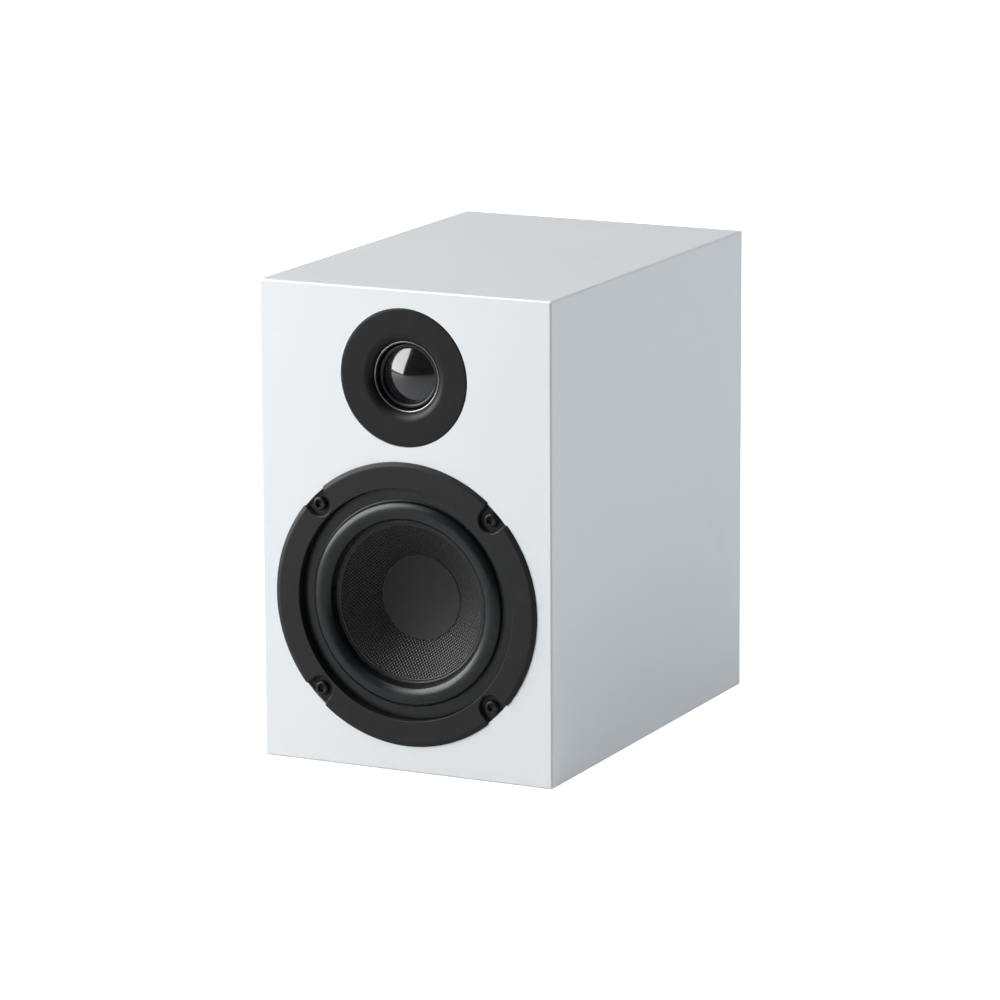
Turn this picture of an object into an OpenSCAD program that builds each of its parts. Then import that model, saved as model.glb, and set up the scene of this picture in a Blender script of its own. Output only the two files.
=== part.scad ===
// Compact two-way bookshelf speaker: a sealed-looking lacquered box with a 25 mm dome
// tweeter, a 130 mm class woofer, a rear reflex port and one pair of binding posts.
// Origin: centre of the cabinet's underside. +Z is up, the baffle faces -Y, +X is the
// right-hand side seen from the front. All lengths are millimetres.

/* [Cabinet] */
// Width of the cabinet
cabinet_w = 150; // [146:1:260]
// Height of the cabinet
cabinet_h = 228; // [226:1:400]
// Depth of the cabinet, front to back
cabinet_d = 218; // [180:1:400]
// Thickness of the front baffle
front_t = 18; // [15:1:25]
// Thickness of the back panel
back_t = 15; // [12:1:25]
// Thickness of the top, bottom and side panels
wall_t = 12; // [9:1:15]
// Rounding of the cabinet's outer edges
edge_r = 1; // [0.5:0.25:3]
// Thickness of the wadding that lines the sides and the top
wadding_t = 10; // [4:1:11]

/* [Woofer frame] */
// Height of the woofer's axis above the underside
woofer_rise = 80; // [76:1:90]
// Outer radius of the woofer's frame where it laps the baffle
frame_r = 67.5; // [65:0.5:69]
// Radial width of the frame's outer bevel
frame_bevel = 2.1; // [1:0.1:3]
// Height of the frame's flat land above the baffle
land_rise = 1.2; // [0.6:0.1:3]
// Inner radius of the land
land_in_r = 55.2; // [54:0.1:57]
// Depth of the frame's back face below the baffle's face
frame_depth = 4; // [3.8:0.1:6]
// Radius of the hole through the baffle for the woofer
woofer_hole_r = 58; // [57.9:0.1:60]
// Pitch circle diameter of the woofer's four screws
woofer_screw_pcd = 125; // [123:0.5:127]
// Radius of the round pocket around each woofer screw
pocket_r = 5.6; // [5:0.1:6.5]
// Depth of each pocket's floor below the baffle's face
pocket_depth = 1.2; // [0.5:0.1:2]
// Thickness of the driver seals
seal_t = 1; // [0.5:0.1:1.5]

/* [Woofer cone and motor] */
// Travel of the cone each way
woofer_travel = 3.5; // [2:0.5:6]
// Inner radius of the surround's half roll
roll_in_r = 39.5; // [38:0.25:41]
// Outer radius of the surround's half roll
roll_out_r = 48.75; // [47:0.25:49]
// Forward rise of the half roll
roll_rise = 3.7; // [2.5:0.1:5]
// Thickness of the surround's rubber
surround_t = 0.8; // [0.5:0.1:1.2]
// Depth of the cone's rim below the baffle's face
cone_rim_depth = 5.4; // [5:0.1:7]
// Radius at which the visible cone starts, inside the surround's glued lip
cone_r = 36.3; // [34:0.1:37.5]
// Depth of the cone from its rim to its neck
cone_depth = 16.6; // [14:0.1:22]
// Wall of the cone and of the dust cap
cone_t = 0.6; // [0.4:0.1:1]
// Radius of the dust cap
cap_r = 20; // [16:0.5:24]
// Hollow of the dust cap at its middle
cap_dish = 2.2; // [1:0.1:3]
// Outer radius of the woofer's coil former
coil_r = 12.9; // [12:0.1:14]
// Length of the woofer's winding
coil_len = 8; // [6:0.5:12]
// Thickness of the woofer's top plate
gap_len = 5; // [4:0.5:6]
// Outer radius of the woofer's ferrite ring
magnet_r = 40; // [34:0.5:41]
// Thickness of the woofer's ferrite ring
magnet_t = 12; // [8:0.5:18]

/* [Tweeter] */
// Distance of the tweeter's axis below the cabinet's top
tweeter_drop = 41; // [36:1:42]
// Outer radius of the tweeter's faceplate
plate_r = 32.3; // [31:0.1:33]
// Thickness of the faceplate
plate_t = 3; // [2.5:0.1:4]
// Radius at which the flare of the faceplate begins
flare_r = 21; // [19.5:0.1:23]
// Radius of the flare's throat
throat_r = 15.5; // [15:0.1:16]
// Depth of the throat's bead below the faceplate
throat_depth = 4.6; // [3.5:0.1:5.5]
// Radius of the dome
dome_r = 13; // [12:0.1:13.2]
// Height of the dome
dome_rise = 5.7; // [4:0.1:6.2]
// Depth of the dome's foot below the faceplate
dome_depth = 7.3; // [7:0.1:9]
// Travel of the dome each way
dome_travel = 0.4; // [0.2:0.1:0.5]
// Radius of the hole through the baffle for the tweeter
tweeter_hole_r = 24; // [23.5:0.1:25]

/* [Port] */
// Distance of the port's axis below the cabinet's top
port_drop = 53; // [40:1:60]
// Bore radius of the reflex port
port_r = 17; // [12:0.5:18]
// Length of the port tube
port_len = 90; // [40:1:110]
// Radius of the port's mouth rounding
port_flare = 8; // [6:0.5:10]

/* [Terminals] */
// Height of the terminal cup's centre above the underside
cup_rise = 60; // [52:1:70]
// Width of the cup's recess
cup_w = 76; // [60:1:90]
// Height of the cup's recess
cup_h = 48; // [40:1:54]
// Depth of the cup's recess
cup_depth = 28; // [26:1:34]
// Spacing of the two binding posts
post_spacing = 19; // [17:0.5:24]
// Radius of each post's 4 mm plug socket
socket_r = 2; // [1.9:0.05:2.1]
// Depth of each post's plug socket
socket_len = 15.5; // [10:0.5:16]
// Outer radius of the knobs
knob_r = 6.5; // [6:0.25:8]
// Travel of a knob as it is unscrewed
knob_travel = 4; // [2:0.5:4]

/* [Crossover] */
// Width of the crossover board
board_w = 80; // [78:1:100]
// Length of the crossover board, front to back
board_l = 90; // [88:1:100]
// Height of the spacers under the board
spacer_h = 6; // [4:0.5:12]
// Radius of the hook-up wires
wire_r = 1.1; // [0.7:0.1:1.4]

/* [Hidden] */
$fn = 96;
slit = 0.2;                                  // clearance around a part let into a panel
glue = 0.05;                                 // glue line between concentric parts
run = 0.05;                                  // radial clearance of a turning or sliding fit
air_gap = 0.4;                               // radial gap on each side of a voice coil
through = 1;                                 // how far a cutter runs past a face
both = [1, -1];

front_y = -cabinet_d / 2;
back_y = cabinet_d / 2;
inner_front_y = front_y + front_t;
inner_back_y = back_y - back_t;
lacquer = [0.92, 0.93, 0.94];
satin_black = [0.16, 0.16, 0.17];
rubber_black = [0.10, 0.11, 0.12];
steel = [0.62, 0.63, 0.65];
brass = [0.82, 0.66, 0.32];
copper = [0.72, 0.42, 0.26];
terminal_red = [0.70, 0.08, 0.08];

// Woofer, along its axis from the baffle's face: minus is into the cabinet
frame_base_r = frame_r - 0.8;
land_out_r = frame_r - frame_bevel;
basket_r = woofer_hole_r - 0.5;
frame_z = -frame_depth;
seat_z = frame_z + 0.4;                      // ledge that carries the surround's flange
seat_in_r = roll_out_r + 0.8;
seat_t = 3;
rim_z = -cone_rim_depth;
neck_z = rim_z - cone_depth;
neck_r = coil_r + glue;
neck_len = 2;
spider_t = 0.5;
spider_wave = 1;
spider_z = neck_z - neck_len - spider_wave;
spider_out_r = 37.3;
ledge_z = spider_z - spider_t / 2;
ledge_in_r = spider_out_r - 3.8;
floor_t = 3;
floor_z = ledge_z - spider_wave - woofer_travel - 3;
plate_z = floor_z - floor_t;                 // front face of the top plate
gap_z = plate_z - gap_len / 2;
magnet_z = plate_z - gap_len;
yoke_z = magnet_z - magnet_t;
yoke_t = 5;
former_t = 0.3;
winding_t = 0.6;
winding_z = gap_z - coil_len / 2;
pole_r = coil_r - former_t - air_gap;
gap_r = coil_r + winding_t + air_gap;
pole_vent_r = 4;
strip_y = magnet_r + 2;                      // flat for the terminal strip, below the axis
tab_x = 8;
tab_w = 4.8;
tab_t = 0.8;
tab_len = 20;
woofer_tab_z = floor_z - 15;                 // rear end of the woofer's tabs
screw_r = 1.95;
insert_r = 3;
insert_len = 9;
screw_angles = [45, 135, 225, 315];
window_angles = [for (k = [0:5]) 30 + 60 * k];

// Tweeter, along its axis from the baffle's face
chassis_z = -plate_t - 0.2;
chassis_back_z = -6;
chassis_r = plate_r - 0.5;
foot_z = -dome_depth;
flange_z = foot_z + 0.1;                     // underside of the dome's flange ring
flange_t = 0.4;
tweeter_plate_z = flange_z - 0.8;
tweeter_plate_t = 3;
tweeter_magnet_t = 6;
tweeter_yoke_t = 4;
tweeter_yoke_r = tweeter_hole_r - 2.5;
tweeter_yoke_z = tweeter_plate_z - tweeter_plate_t - tweeter_magnet_t;
tweeter_coil_r = dome_r - 0.3;
tweeter_pole_r = tweeter_coil_r - former_t - air_gap;
tweeter_gap_r = tweeter_coil_r + former_t + air_gap;
tweeter_board_z = tweeter_yoke_z - tweeter_yoke_t;
tweeter_board_t = 1.6;
tweeter_tab_len = 9;
tweeter_screw_r = 28;
tweeter_screw_angles = [90, 210, 330];
peg_angles = [30, 150, 270];
dome_ball_r = (pow(dome_r, 2) + pow(dome_rise, 2)) / (2 * dome_rise);

// Back: terminal cup and port, along +Z out of the back panel
cup_wall = 2.5;
cup_flange_w = cup_w + 24;
cup_flange_h = cup_h + 22;
cup_flange_t = 2.5;
cup_corner = 5;
cup_floor = -cup_depth;
cup_screw_x = cup_w / 2 + 6;
cup_screw_y = cup_h / 2 + 5.5;
stud_r = 3;
stud_top = cup_floor + 23;
collar_t = 3;
washer_t = 1.5;
knob_floor = cup_floor + collar_t + washer_t;
knob_top = stud_top + 2;
nut_t = 3.9;
tag_t = 0.8;
port_wall = 2;
port_flange_t = 2;
port_flange_r = port_r + port_flare + 2;
port_neck_r = port_r + 4;

// Crossover board, from the top of the bottom panel
board_t = 1.6;
board_y = inner_back_y - 86;                 // centre of the board
board_z = wall_t + spacer_h;
board_top = board_z + board_t;
board_screw_x = board_w / 2 - 4;
board_screw_y = board_l / 2 - 4;
board_screws = [for (x = [-1, 1], y = [-1, 1]) [x * board_screw_x, y * board_screw_y]];
woofer_choke = [-19, 22];
tweeter_choke = [24, -28];

// ---------------------------------------------------------------- placing

// Woofer's own axes: x right, y up, z out of the baffle
module on_woofer() {
    translate([0, front_y, woofer_rise]) rotate([90, 0, 0]) children();
}

// Tweeter's own axes: x right, y up, z out of the baffle
module on_tweeter() {
    translate([0, front_y, cabinet_h - tweeter_drop]) rotate([90, 0, 0]) children();
}

// Axes on the back panel's face at a height: y up, z out of the back
module on_back(height) {
    translate([0, back_y, height]) rotate([90, 0, 180]) children();
}

// The post's own axes; the red post is on the right seen from behind
module on_post(side) {
    on_back(cup_rise) translate([side * post_spacing / 2, 0, 0]) children();
}

// The board's own axes: centre of its underside
module on_board() {
    translate([0, board_y, board_z]) children();
}

// ---------------------------------------------------------------- shapes

// Point on a circle or ellipse about c, semi-axes a and b
function on_arc(c, a, b, t) = c + [a * cos(t), b * sin(t)];

// Arc of n chords from angle t0 to angle t1
function arc(c, a, b, t0, t1, n = 10) =
    [for (k = [0:n]) on_arc(c, a, b, t0 + (t1 - t0) * k / n)];

// Flat ring or tube from z0 up to z1
module ring(r_out, r_in, z0, z1) {
    translate([0, 0, z0]) difference() {
        cylinder(r = r_out, h = z1 - z0);
        translate([0, 0, -through]) cylinder(r = r_in, h = z1 - z0 + 2 * through);
    }
}

// Solid disc or bore cutter from z0 up to z1
module disc(r, z0, z1) {
    translate([0, 0, z0]) cylinder(r = r, h = z1 - z0);
}

// Rectangle with rounded corners, centred
module round_rect(w, h, r) {
    square([w - 2 * r, h], center = true);
    square([w, h - 2 * r], center = true);
    for (x = both, y = both)
        translate([x * (w / 2 - r), y * (h / 2 - r)]) circle(r);
}

// Rounded rectangle extruded from z0 up to z1
module round_slab(w, h, r, z0, z1) {
    translate([0, 0, z0]) linear_extrude(z1 - z0) round_rect(w, h, r);
}

// Box between two corners
module block(low, high) {
    translate(low) cube(high - low);
}

// Copies of the children on a circle, each turned to its angle
module around(angles, radius) {
    for (a = angles) rotate(a) translate([radius, 0, 0]) children();
}

// Countersunk screw standing at the origin: head's face at z = 0, shank down
module sunk_screw(head_r, shank_r, length) {
    sink = head_r - shank_r;
    difference() {
        union() {
            translate([0, 0, -sink]) cylinder(r1 = shank_r, r2 = head_r, h = sink);
            disc(shank_r, -length, -sink);
        }
        disc(0.45 * head_r, -0.5 * head_r, through, $fn = 6);
    }
}

// The recess that a countersunk screw needs, a clearance wider all round
module sunk_hole(head_r, shank_r, length, gap = 0.1) {
    sink = head_r - shank_r;
    translate([0, 0, -sink]) cylinder(r1 = shank_r + gap, r2 = head_r + gap, h = sink);
    disc(head_r + gap, 0, through);
    disc(shank_r + gap, -length - through, -sink);
}

// ---------------------------------------------------------------- cabinet

// The whole cabinet as one solid block with its twelve edges rounded
module cabinet_blank() {
    intersection() {
        translate([0, back_y, cabinet_h / 2]) rotate([90, 0, 0])
            linear_extrude(cabinet_d) round_rect(cabinet_w, cabinet_h, edge_r);
        translate([-cabinet_w / 2, 0, cabinet_h / 2]) rotate([90, 0, 90])
            linear_extrude(cabinet_w) round_rect(cabinet_d, cabinet_h, edge_r);
        linear_extrude(cabinet_h) round_rect(cabinet_w, cabinet_d, edge_r);
    }
}

// The part of the blank that lies between two corners
module panel(low, high) {
    intersection() {
        cabinet_blank();
        block(low, high);
    }
}

module front_baffle() {
    half = cabinet_w / 2;
    back_z = -front_t;
    color(lacquer) difference() {
        panel([-half, front_y, 0], [half, inner_front_y, cabinet_h]);
        on_woofer() {
            disc(frame_base_r + slit, frame_z - seal_t, through);
            disc(woofer_hole_r, back_z - through, through);
            translate([0, 0, back_z - through])
                cylinder(r1 = woofer_hole_r + 4, r2 = woofer_hole_r, h = 4 + through);
            around(screw_angles, woofer_screw_pcd / 2)
                disc(insert_r, frame_z - seal_t - insert_len, through);
        }
        on_tweeter() {
            disc(plate_r + slit, chassis_back_z - seal_t, through);
            disc(tweeter_hole_r, back_z - through, through);
            around(tweeter_screw_angles, tweeter_screw_r) disc(1.5, -16, through);
        }
    }
}

module back_panel() {
    half = cabinet_w / 2;
    color(lacquer) difference() {
        panel([-half, inner_back_y, 0], [half, back_y, cabinet_h]);
        on_back(cabinet_h - port_drop) {
            disc(port_flange_r + slit, -port_flange_t, through);
            disc(port_neck_r + slit, -back_t - through, through);
        }
        on_back(cup_rise) {
            round_slab(cup_flange_w + 2 * slit, cup_flange_h + 2 * slit, cup_corner + 3,
                -cup_flange_t - seal_t, through);
            round_slab(cup_w + 2 * cup_wall + 1, cup_h + 2 * cup_wall + 1, cup_corner,
                -back_t - through, through);
            cup_corners() disc(1.4, -13, through);
        }
    }
}

module top_panel() {
    half = cabinet_w / 2;
    color(lacquer)
        panel([-half, inner_front_y, cabinet_h - wall_t], [half, inner_back_y, cabinet_h]);
}

module bottom_panel() {
    half = cabinet_w / 2;
    color(lacquer) difference() {
        panel([-half, inner_front_y, 0], [half, inner_back_y, wall_t]);
        on_board() for (p = board_screws)
            translate(p) disc(1.5, -spacer_h - 7, through);
    }
}

// Side wall between the top and the bottom panels; side is -1 or 1
module side_panel(side) {
    half = cabinet_w / 2;
    inner = half - wall_t;
    color(lacquer)
        panel([side > 0 ? inner : -half, inner_front_y, wall_t],
              [side > 0 ? half : -inner, inner_back_y, cabinet_h - wall_t]);
}

// One length of wadding folded over the top and down both sides
module damping_wadding() {
    half = cabinet_w / 2 - wall_t;
    top = cabinet_h - wall_t;
    length = cabinet_d - front_t - back_t - 45;
    color("gainsboro") translate([0, inner_back_y, 0]) rotate([90, 0, 0])
        linear_extrude(length) difference() {
            translate([-half, wall_t + 10]) square([2 * half, top - wall_t - 10]);
            translate([wadding_t - half, 0])
                square([2 * (half - wadding_t), top - wadding_t]);
        }
}

// ---------------------------------------------------------------- woofer

// Cast frame: lapped rim, land, seat for the surround, windowed wall, spider ledge, floor
module woofer_basket() {
    outline = [
        [frame_base_r, frame_z], [frame_base_r, glue], [frame_r, glue],
        [frame_r - 0.2, 0.35], [land_out_r, land_rise], [land_in_r + 0.4, land_rise],
        [land_in_r, land_rise - 0.4], [land_in_r, seat_z], [seat_in_r, seat_z],
        [seat_in_r, seat_z - seat_t], [basket_r - 5, seat_z - seat_t - 2],
        [spider_out_r + 0.2, ledge_z], [ledge_in_r, ledge_z], [ledge_in_r, floor_z],
        [coil_r + 3.1, floor_z], [coil_r + 3.1, plate_z], [spider_out_r, plate_z],
        [spider_out_r + 2.7, floor_z], [spider_out_r + 2.7, ledge_z - 1],
        [basket_r, frame_z - 4], [basket_r, frame_z]];
    color(satin_black) on_woofer() {
        difference() {
            rotate_extrude() polygon(outline);
            around(screw_angles, woofer_screw_pcd / 2) {
                disc(pocket_r, -pocket_depth, land_rise + through);
                block([0, -pocket_r, -pocket_depth],
                      [2 * pocket_r, pocket_r, land_rise + through]);
                disc(screw_r + 0.25, frame_z - through, through);
            }
            around(window_angles, 0) basket_window();
        }
        block([-12, -strip_y, plate_z], [12, -spider_out_r + 1, floor_z + 6]);
    }
}

// Opening between two ribs of the basket's wall
module basket_window() {
    near = ledge_in_r;
    far = basket_r + 4;
    translate([0, 0, ledge_z + 0.5]) linear_extrude(frame_z - 6 - ledge_z)
        polygon([[near * cos(18), near * sin(18)], [near * cos(18), -near * sin(18)],
                 [far * cos(18), -far * sin(18)], [far * cos(18), far * sin(18)]]);
}

// Foam ring between the woofer's frame and the rebate
module woofer_seal() {
    color(rubber_black) on_woofer() difference() {
        ring(frame_base_r - 0.3, woofer_hole_r + 0.3, frame_z - seal_t, frame_z);
        around(screw_angles, woofer_screw_pcd / 2)
            disc(insert_r + 0.1, frame_z - seal_t - through, frame_z + through);
    }
}

// M4 pan-head screws with a six-point recess, as a group of four
module woofer_screws() {
    head_h = 2.2;
    color("dimgray") on_woofer() around(screw_angles, woofer_screw_pcd / 2)
        translate([0, 0, -pocket_depth]) difference() {
            union() {
                rotate_extrude() polygon(concat([[0, 0], [3.4, 0], [3.4, 1.2]],
                    arc([2.4, 1.2], 1, head_h - 1.2, 0, 90, 6), [[0, head_h]]));
                disc(screw_r, frame_z - seal_t - insert_len + pocket_depth + 1, 0);
            }
            disc(1.9, head_h - 1.5, head_h + through, $fn = 6);
        }
}

// Brass threaded bushes in the baffle, as a group of four
module woofer_inserts() {
    low = frame_z - seal_t - insert_len;
    color(brass) on_woofer() around(screw_angles, woofer_screw_pcd / 2)
        ring(insert_r, screw_r + run, low, frame_z - seal_t);
}

// Half-roll rubber surround: outer flange on the seat, lip on the cone's rim
module woofer_surround() {
    flange_top = seat_z + surround_t;
    lip_top = rim_z + surround_t;
    mid = (roll_in_r + roll_out_r) / 2;
    half = (roll_out_r - roll_in_r) / 2;
    steps = 14;
    roll = function (a, b, lift, t)
        [mid + a * cos(t), lerp(flange_top, lip_top, (1 - cos(t)) / 2) + lift + b * sin(t)];
    outer = [for (k = [0:steps]) roll(half, roll_rise, 0, 180 * k / steps)];
    inner = [for (k = [steps:-1:0])
        roll(half - surround_t, roll_rise - 0.1, -surround_t, 180 * k / steps)];
    color(rubber_black) on_woofer() rotate_extrude()
        polygon(concat([[land_in_r - 0.2, seat_z], [land_in_r - 0.2, flange_top]], outer,
            [[cone_r, lip_top], [cone_r, rim_z]], inner));
}

// Straight-line mix of two values
function lerp(a, b, t) = a + (b - a) * t;

// Height of the cone's front surface at a radius
function cone_z(r) = lerp(neck_z, rim_z, (r - neck_r) / (cone_r - neck_r));

// Woven cone: flat glued rim, straight wall, short neck on the former
module woofer_cone() {
    rim_r = roll_in_r - 0.2;
    color(rubber_black) on_woofer() rotate_extrude()
        polygon([[rim_r, rim_z], [cone_r, rim_z], [neck_r, neck_z],
            [neck_r, neck_z - neck_len], [neck_r + cone_t, neck_z - neck_len],
            [neck_r + cone_t, neck_z - 0.8 * cone_t], [cone_r, rim_z - 1.25 * cone_t],
            [rim_r, rim_z - cone_t]]);
}

// Shallow dished dust cap, glued to the cone by its edge
module woofer_dust_cap() {
    edge_z = cone_z(cap_r) + 0.1;
    dish = function (r) edge_z + 0.35 - cap_dish * (1 - pow(r / cap_r, 2));
    steps = 10;
    face = [for (k = [0:steps]) [cap_r * k / steps, dish(cap_r * k / steps)]];
    under = [for (k = [steps:-1:0])
        [(cap_r - 0.5) * k / steps, dish((cap_r - 0.5) * k / steps) - cone_t]];
    color(satin_black) on_woofer() rotate_extrude()
        polygon(concat(face, [[cap_r, edge_z]], under));
}

// Tube that carries the winding, from the cone's neck down into the gap
module woofer_coil_former() {
    color("peru") on_woofer()
        ring(coil_r, coil_r - former_t, winding_z - 1, neck_z + 0.5);
}

module woofer_voice_coil() {
    color(copper) on_woofer()
        ring(coil_r + winding_t, coil_r + glue, winding_z, winding_z + coil_len);
}

// Corrugated centring disc between the former and the basket's ledge
module woofer_spider() {
    waves = 4;
    steps = 4 * waves;
    r0 = coil_r + 1;
    r1 = ledge_in_r;
    wave = function (t) spider_wave * sin(360 * waves * t);
    line = function (lift) [for (k = [0:steps])
        [lerp(r0, r1, k / steps), spider_z + lift + wave(k / steps)]];
    upper = line(spider_t / 2);
    lower = line(-spider_t / 2);
    color("goldenrod") on_woofer() rotate_extrude()
        polygon(concat([[coil_r + glue, spider_z - spider_t / 2],
            [coil_r + glue, spider_z + spider_t / 2]], upper,
            [[spider_out_r, spider_z + spider_t / 2], [spider_out_r, ledge_z]],
            [for (k = [steps:-1:0]) lower[k]]));
}

module woofer_top_plate() {
    color(steel) on_woofer() ring(magnet_r - 2, gap_r, magnet_z, plate_z);
}

module woofer_magnet() {
    color("dimgray") on_woofer() ring(magnet_r, 22, yoke_z, magnet_z);
}

// Back plate and vented pole in one piece
module woofer_yoke() {
    color(steel) on_woofer() difference() {
        union() {
            disc(magnet_r - 2, yoke_z - yoke_t, yoke_z);
            disc(pole_r, yoke_z - through, plate_z);
        }
        disc(pole_vent_r, yoke_z - yoke_t - through, plate_z + through);
    }
}

// Laminate strip on the basket's flat, below the motor
module woofer_terminal_strip() {
    color("saddlebrown") on_woofer()
        block([-14, -strip_y - 1.6, woofer_tab_z + 6], [14, -strip_y, floor_z + 9.5]);
}

// Two push-on tabs on the strip
module woofer_terminal_tabs() {
    y = -strip_y - 1.6;
    color(brass) on_woofer() for (x = both)
        translate([x * tab_x, y, woofer_tab_z])
            block([-tab_w / 2, -tab_t, 0], [tab_w / 2, 0, tab_len]);
}

// Push-on receptacles on the four tabs, as a group
module tab_connectors() {
    color("lightsteelblue") {
        on_woofer() for (x = both)
            translate([x * tab_x, -strip_y - 1.6 - tab_t / 2, woofer_tab_z]) connector();
        on_tweeter() for (x = both)
            translate([x * tab_x, 0, tweeter_board_z - tweeter_board_t - tweeter_tab_len])
                connector();
    }
}

// Receptacle that holds the last 6 mm of a tab; the wire leaves from its rear face
module connector() {
    grip = 6;
    difference() {
        block([-3.2, -1.3, -3], [3.2, 1.3, grip]);
        block([-tab_w / 2 - 0.1, -tab_t / 2 - 0.1, 0],
              [tab_w / 2 + 0.1, tab_t / 2 + 0.1, grip + through]);
    }
}

// ---------------------------------------------------------------- tweeter

// Press-on faceplate with a rounded flare; its pegs hide the fixing screws
module tweeter_faceplate() {
    lip_z = -throat_depth - 2;
    bead = 0.7;
    rim = 0.8;
    color(satin_black) on_tweeter() {
        rotate_extrude() polygon(concat(
            [[plate_r, -plate_t]],
            arc([plate_r - rim, -rim], rim, rim, 0, 90, 5),
            arc([flare_r, -throat_depth], flare_r - throat_r - bead, throat_depth, 90, 180, 12),
            arc([throat_r + bead / 2, -throat_depth], bead / 2, bead / 2, 0, 180, 6),
            [[throat_r, lip_z], [throat_r + 2.5, lip_z], [throat_r + 2.5, -throat_depth],
             [flare_r + 1, -plate_t]]));
        around(peg_angles, tweeter_screw_r) disc(1.2, chassis_z - 2, -plate_t);
    }
}

// Screwed ring behind the faceplate that clamps the dome's flange
module tweeter_chassis() {
    centre_r = throat_r + 2.8;
    color(satin_black) on_tweeter() difference() {
        union() {
            ring(chassis_r, centre_r, chassis_back_z, chassis_z);
            ring(tweeter_hole_r - 0.4, centre_r, flange_z + flange_t, chassis_back_z);
        }
        translate([0, 0, -throat_depth - slit])
            cylinder(r1 = centre_r, r2 = flare_r + 1.3, h = throat_depth + slit + chassis_z);
        disc(flare_r + 1.3, chassis_z - glue, chassis_z + through);
        around(tweeter_screw_angles, tweeter_screw_r)
            translate([0, 0, chassis_z]) sunk_hole(2.9, 1.4, 8);
        around(peg_angles, tweeter_screw_r)
            disc(1.25, chassis_back_z - through, chassis_z + through);
    }
}

module tweeter_seal() {
    color(rubber_black) on_tweeter() difference() {
        ring(chassis_r - 0.3, tweeter_hole_r + 0.3, chassis_back_z - seal_t, chassis_back_z);
        around(tweeter_screw_angles, tweeter_screw_r)
            disc(1.7, chassis_back_z - seal_t - through, chassis_back_z + through);
    }
}

module tweeter_screws() {
    color("dimgray") on_tweeter() around(tweeter_screw_angles, tweeter_screw_r)
        translate([0, 0, chassis_z]) sunk_screw(2.9, 1.4, 12.5);
}

// Part of the dome between its outer and inner skins, above its foot
module dome_shell(r_ball, thick, foot, centre) {
    top = centre + r_ball;
    steps = 12;
    reach = acos((foot - centre) / r_ball);
    reach_in = acos((foot - centre) / (r_ball - thick));
    rotate_extrude() polygon(concat(
        [for (k = [0:steps]) [r_ball * sin(reach * k / steps),
            centre + r_ball * cos(reach * k / steps)]],
        [for (k = [steps:-1:0]) [(r_ball - thick) * sin(reach_in * k / steps),
            centre + (r_ball - thick) * cos(reach_in * k / steps)]]));
}

module tweeter_dome() {
    color(rubber_black) on_tweeter()
        dome_shell(dome_ball_r, 0.3, foot_z, foot_z + dome_rise - dome_ball_r);
}

// Small half roll between the dome's foot and its clamped flange
module tweeter_surround() {
    thick = 0.25;
    r0 = dome_r + 0.1;
    r1 = throat_r - 0.1;
    mid = (r0 + r1) / 2;
    half = (r1 - r0) / 2;
    color(rubber_black) on_tweeter() rotate_extrude() polygon(concat(
        arc([mid, flange_z + thick], half, half * 0.9, 180, 0, 8),
        [[throat_r + 4.5, flange_z + thick], [throat_r + 4.5, flange_z]],
        arc([mid, flange_z], half - thick, half * 0.9 - thick / 2, 0, 180, 8),
        [[r0, flange_z]]));
}

// Former and winding of the dome's coil
module tweeter_voice_coil() {
    coil_top = foot_z - 0.05;
    color(copper) on_tweeter() {
        ring(tweeter_coil_r, tweeter_coil_r - former_t, coil_top - 4.5, coil_top);
        ring(tweeter_coil_r + former_t, tweeter_coil_r, coil_top - 4, coil_top - 1.6);
    }
}

module tweeter_top_plate() {
    color(steel) on_tweeter() ring(tweeter_yoke_r, tweeter_gap_r,
        tweeter_plate_z - tweeter_plate_t, tweeter_plate_z);
}

module tweeter_magnet() {
    color("silver") on_tweeter() ring(tweeter_yoke_r - 0.5, 15.5,
        tweeter_yoke_z, tweeter_plate_z - tweeter_plate_t);
}

module tweeter_yoke() {
    color(steel) on_tweeter() {
        disc(tweeter_yoke_r, tweeter_board_z, tweeter_yoke_z);
        disc(tweeter_pole_r, tweeter_yoke_z - through, tweeter_plate_z);
    }
}

// Felt disc on the pole, under the dome
module tweeter_felt_pad() {
    color("gray") on_tweeter() disc(9.5, tweeter_plate_z, tweeter_plate_z + 1.8);
}

module tweeter_terminal_board() {
    color("saddlebrown") on_tweeter()
        disc(tweeter_yoke_r - 2, tweeter_board_z - tweeter_board_t, tweeter_board_z);
}

module tweeter_terminal_tabs() {
    z = tweeter_board_z - tweeter_board_t;
    color(brass) on_tweeter() for (x = both) translate([x * tab_x, 0, z])
        block([-tab_w / 2, -tab_t / 2, -tweeter_tab_len], [tab_w / 2, tab_t / 2, 0]);
}

// ---------------------------------------------------------------- port

// Reflex tube with a rounded mouth flush with the back
module port_tube() {
    mouth = port_r + port_flare;
    color(satin_black) on_back(cabinet_h - port_drop) rotate_extrude()
        polygon(concat(
            [[port_r + port_wall, -port_len], [port_r + port_wall, -back_t],
             [port_neck_r, -back_t + 2], [port_neck_r, -port_flange_t],
             [port_flange_r, -port_flange_t], [port_flange_r, 0]],
            arc([mouth, -port_flare], port_flare, port_flare, 90, 180, 10),
            [[port_r, 1 - port_len], [port_r + 1, -port_len]]));
}

// ---------------------------------------------------------------- terminals

// The cup's four fixing places
module cup_corners() {
    for (x = both, y = both)
        translate([x * cup_screw_x, y * cup_screw_y, 0]) children();
}

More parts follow.
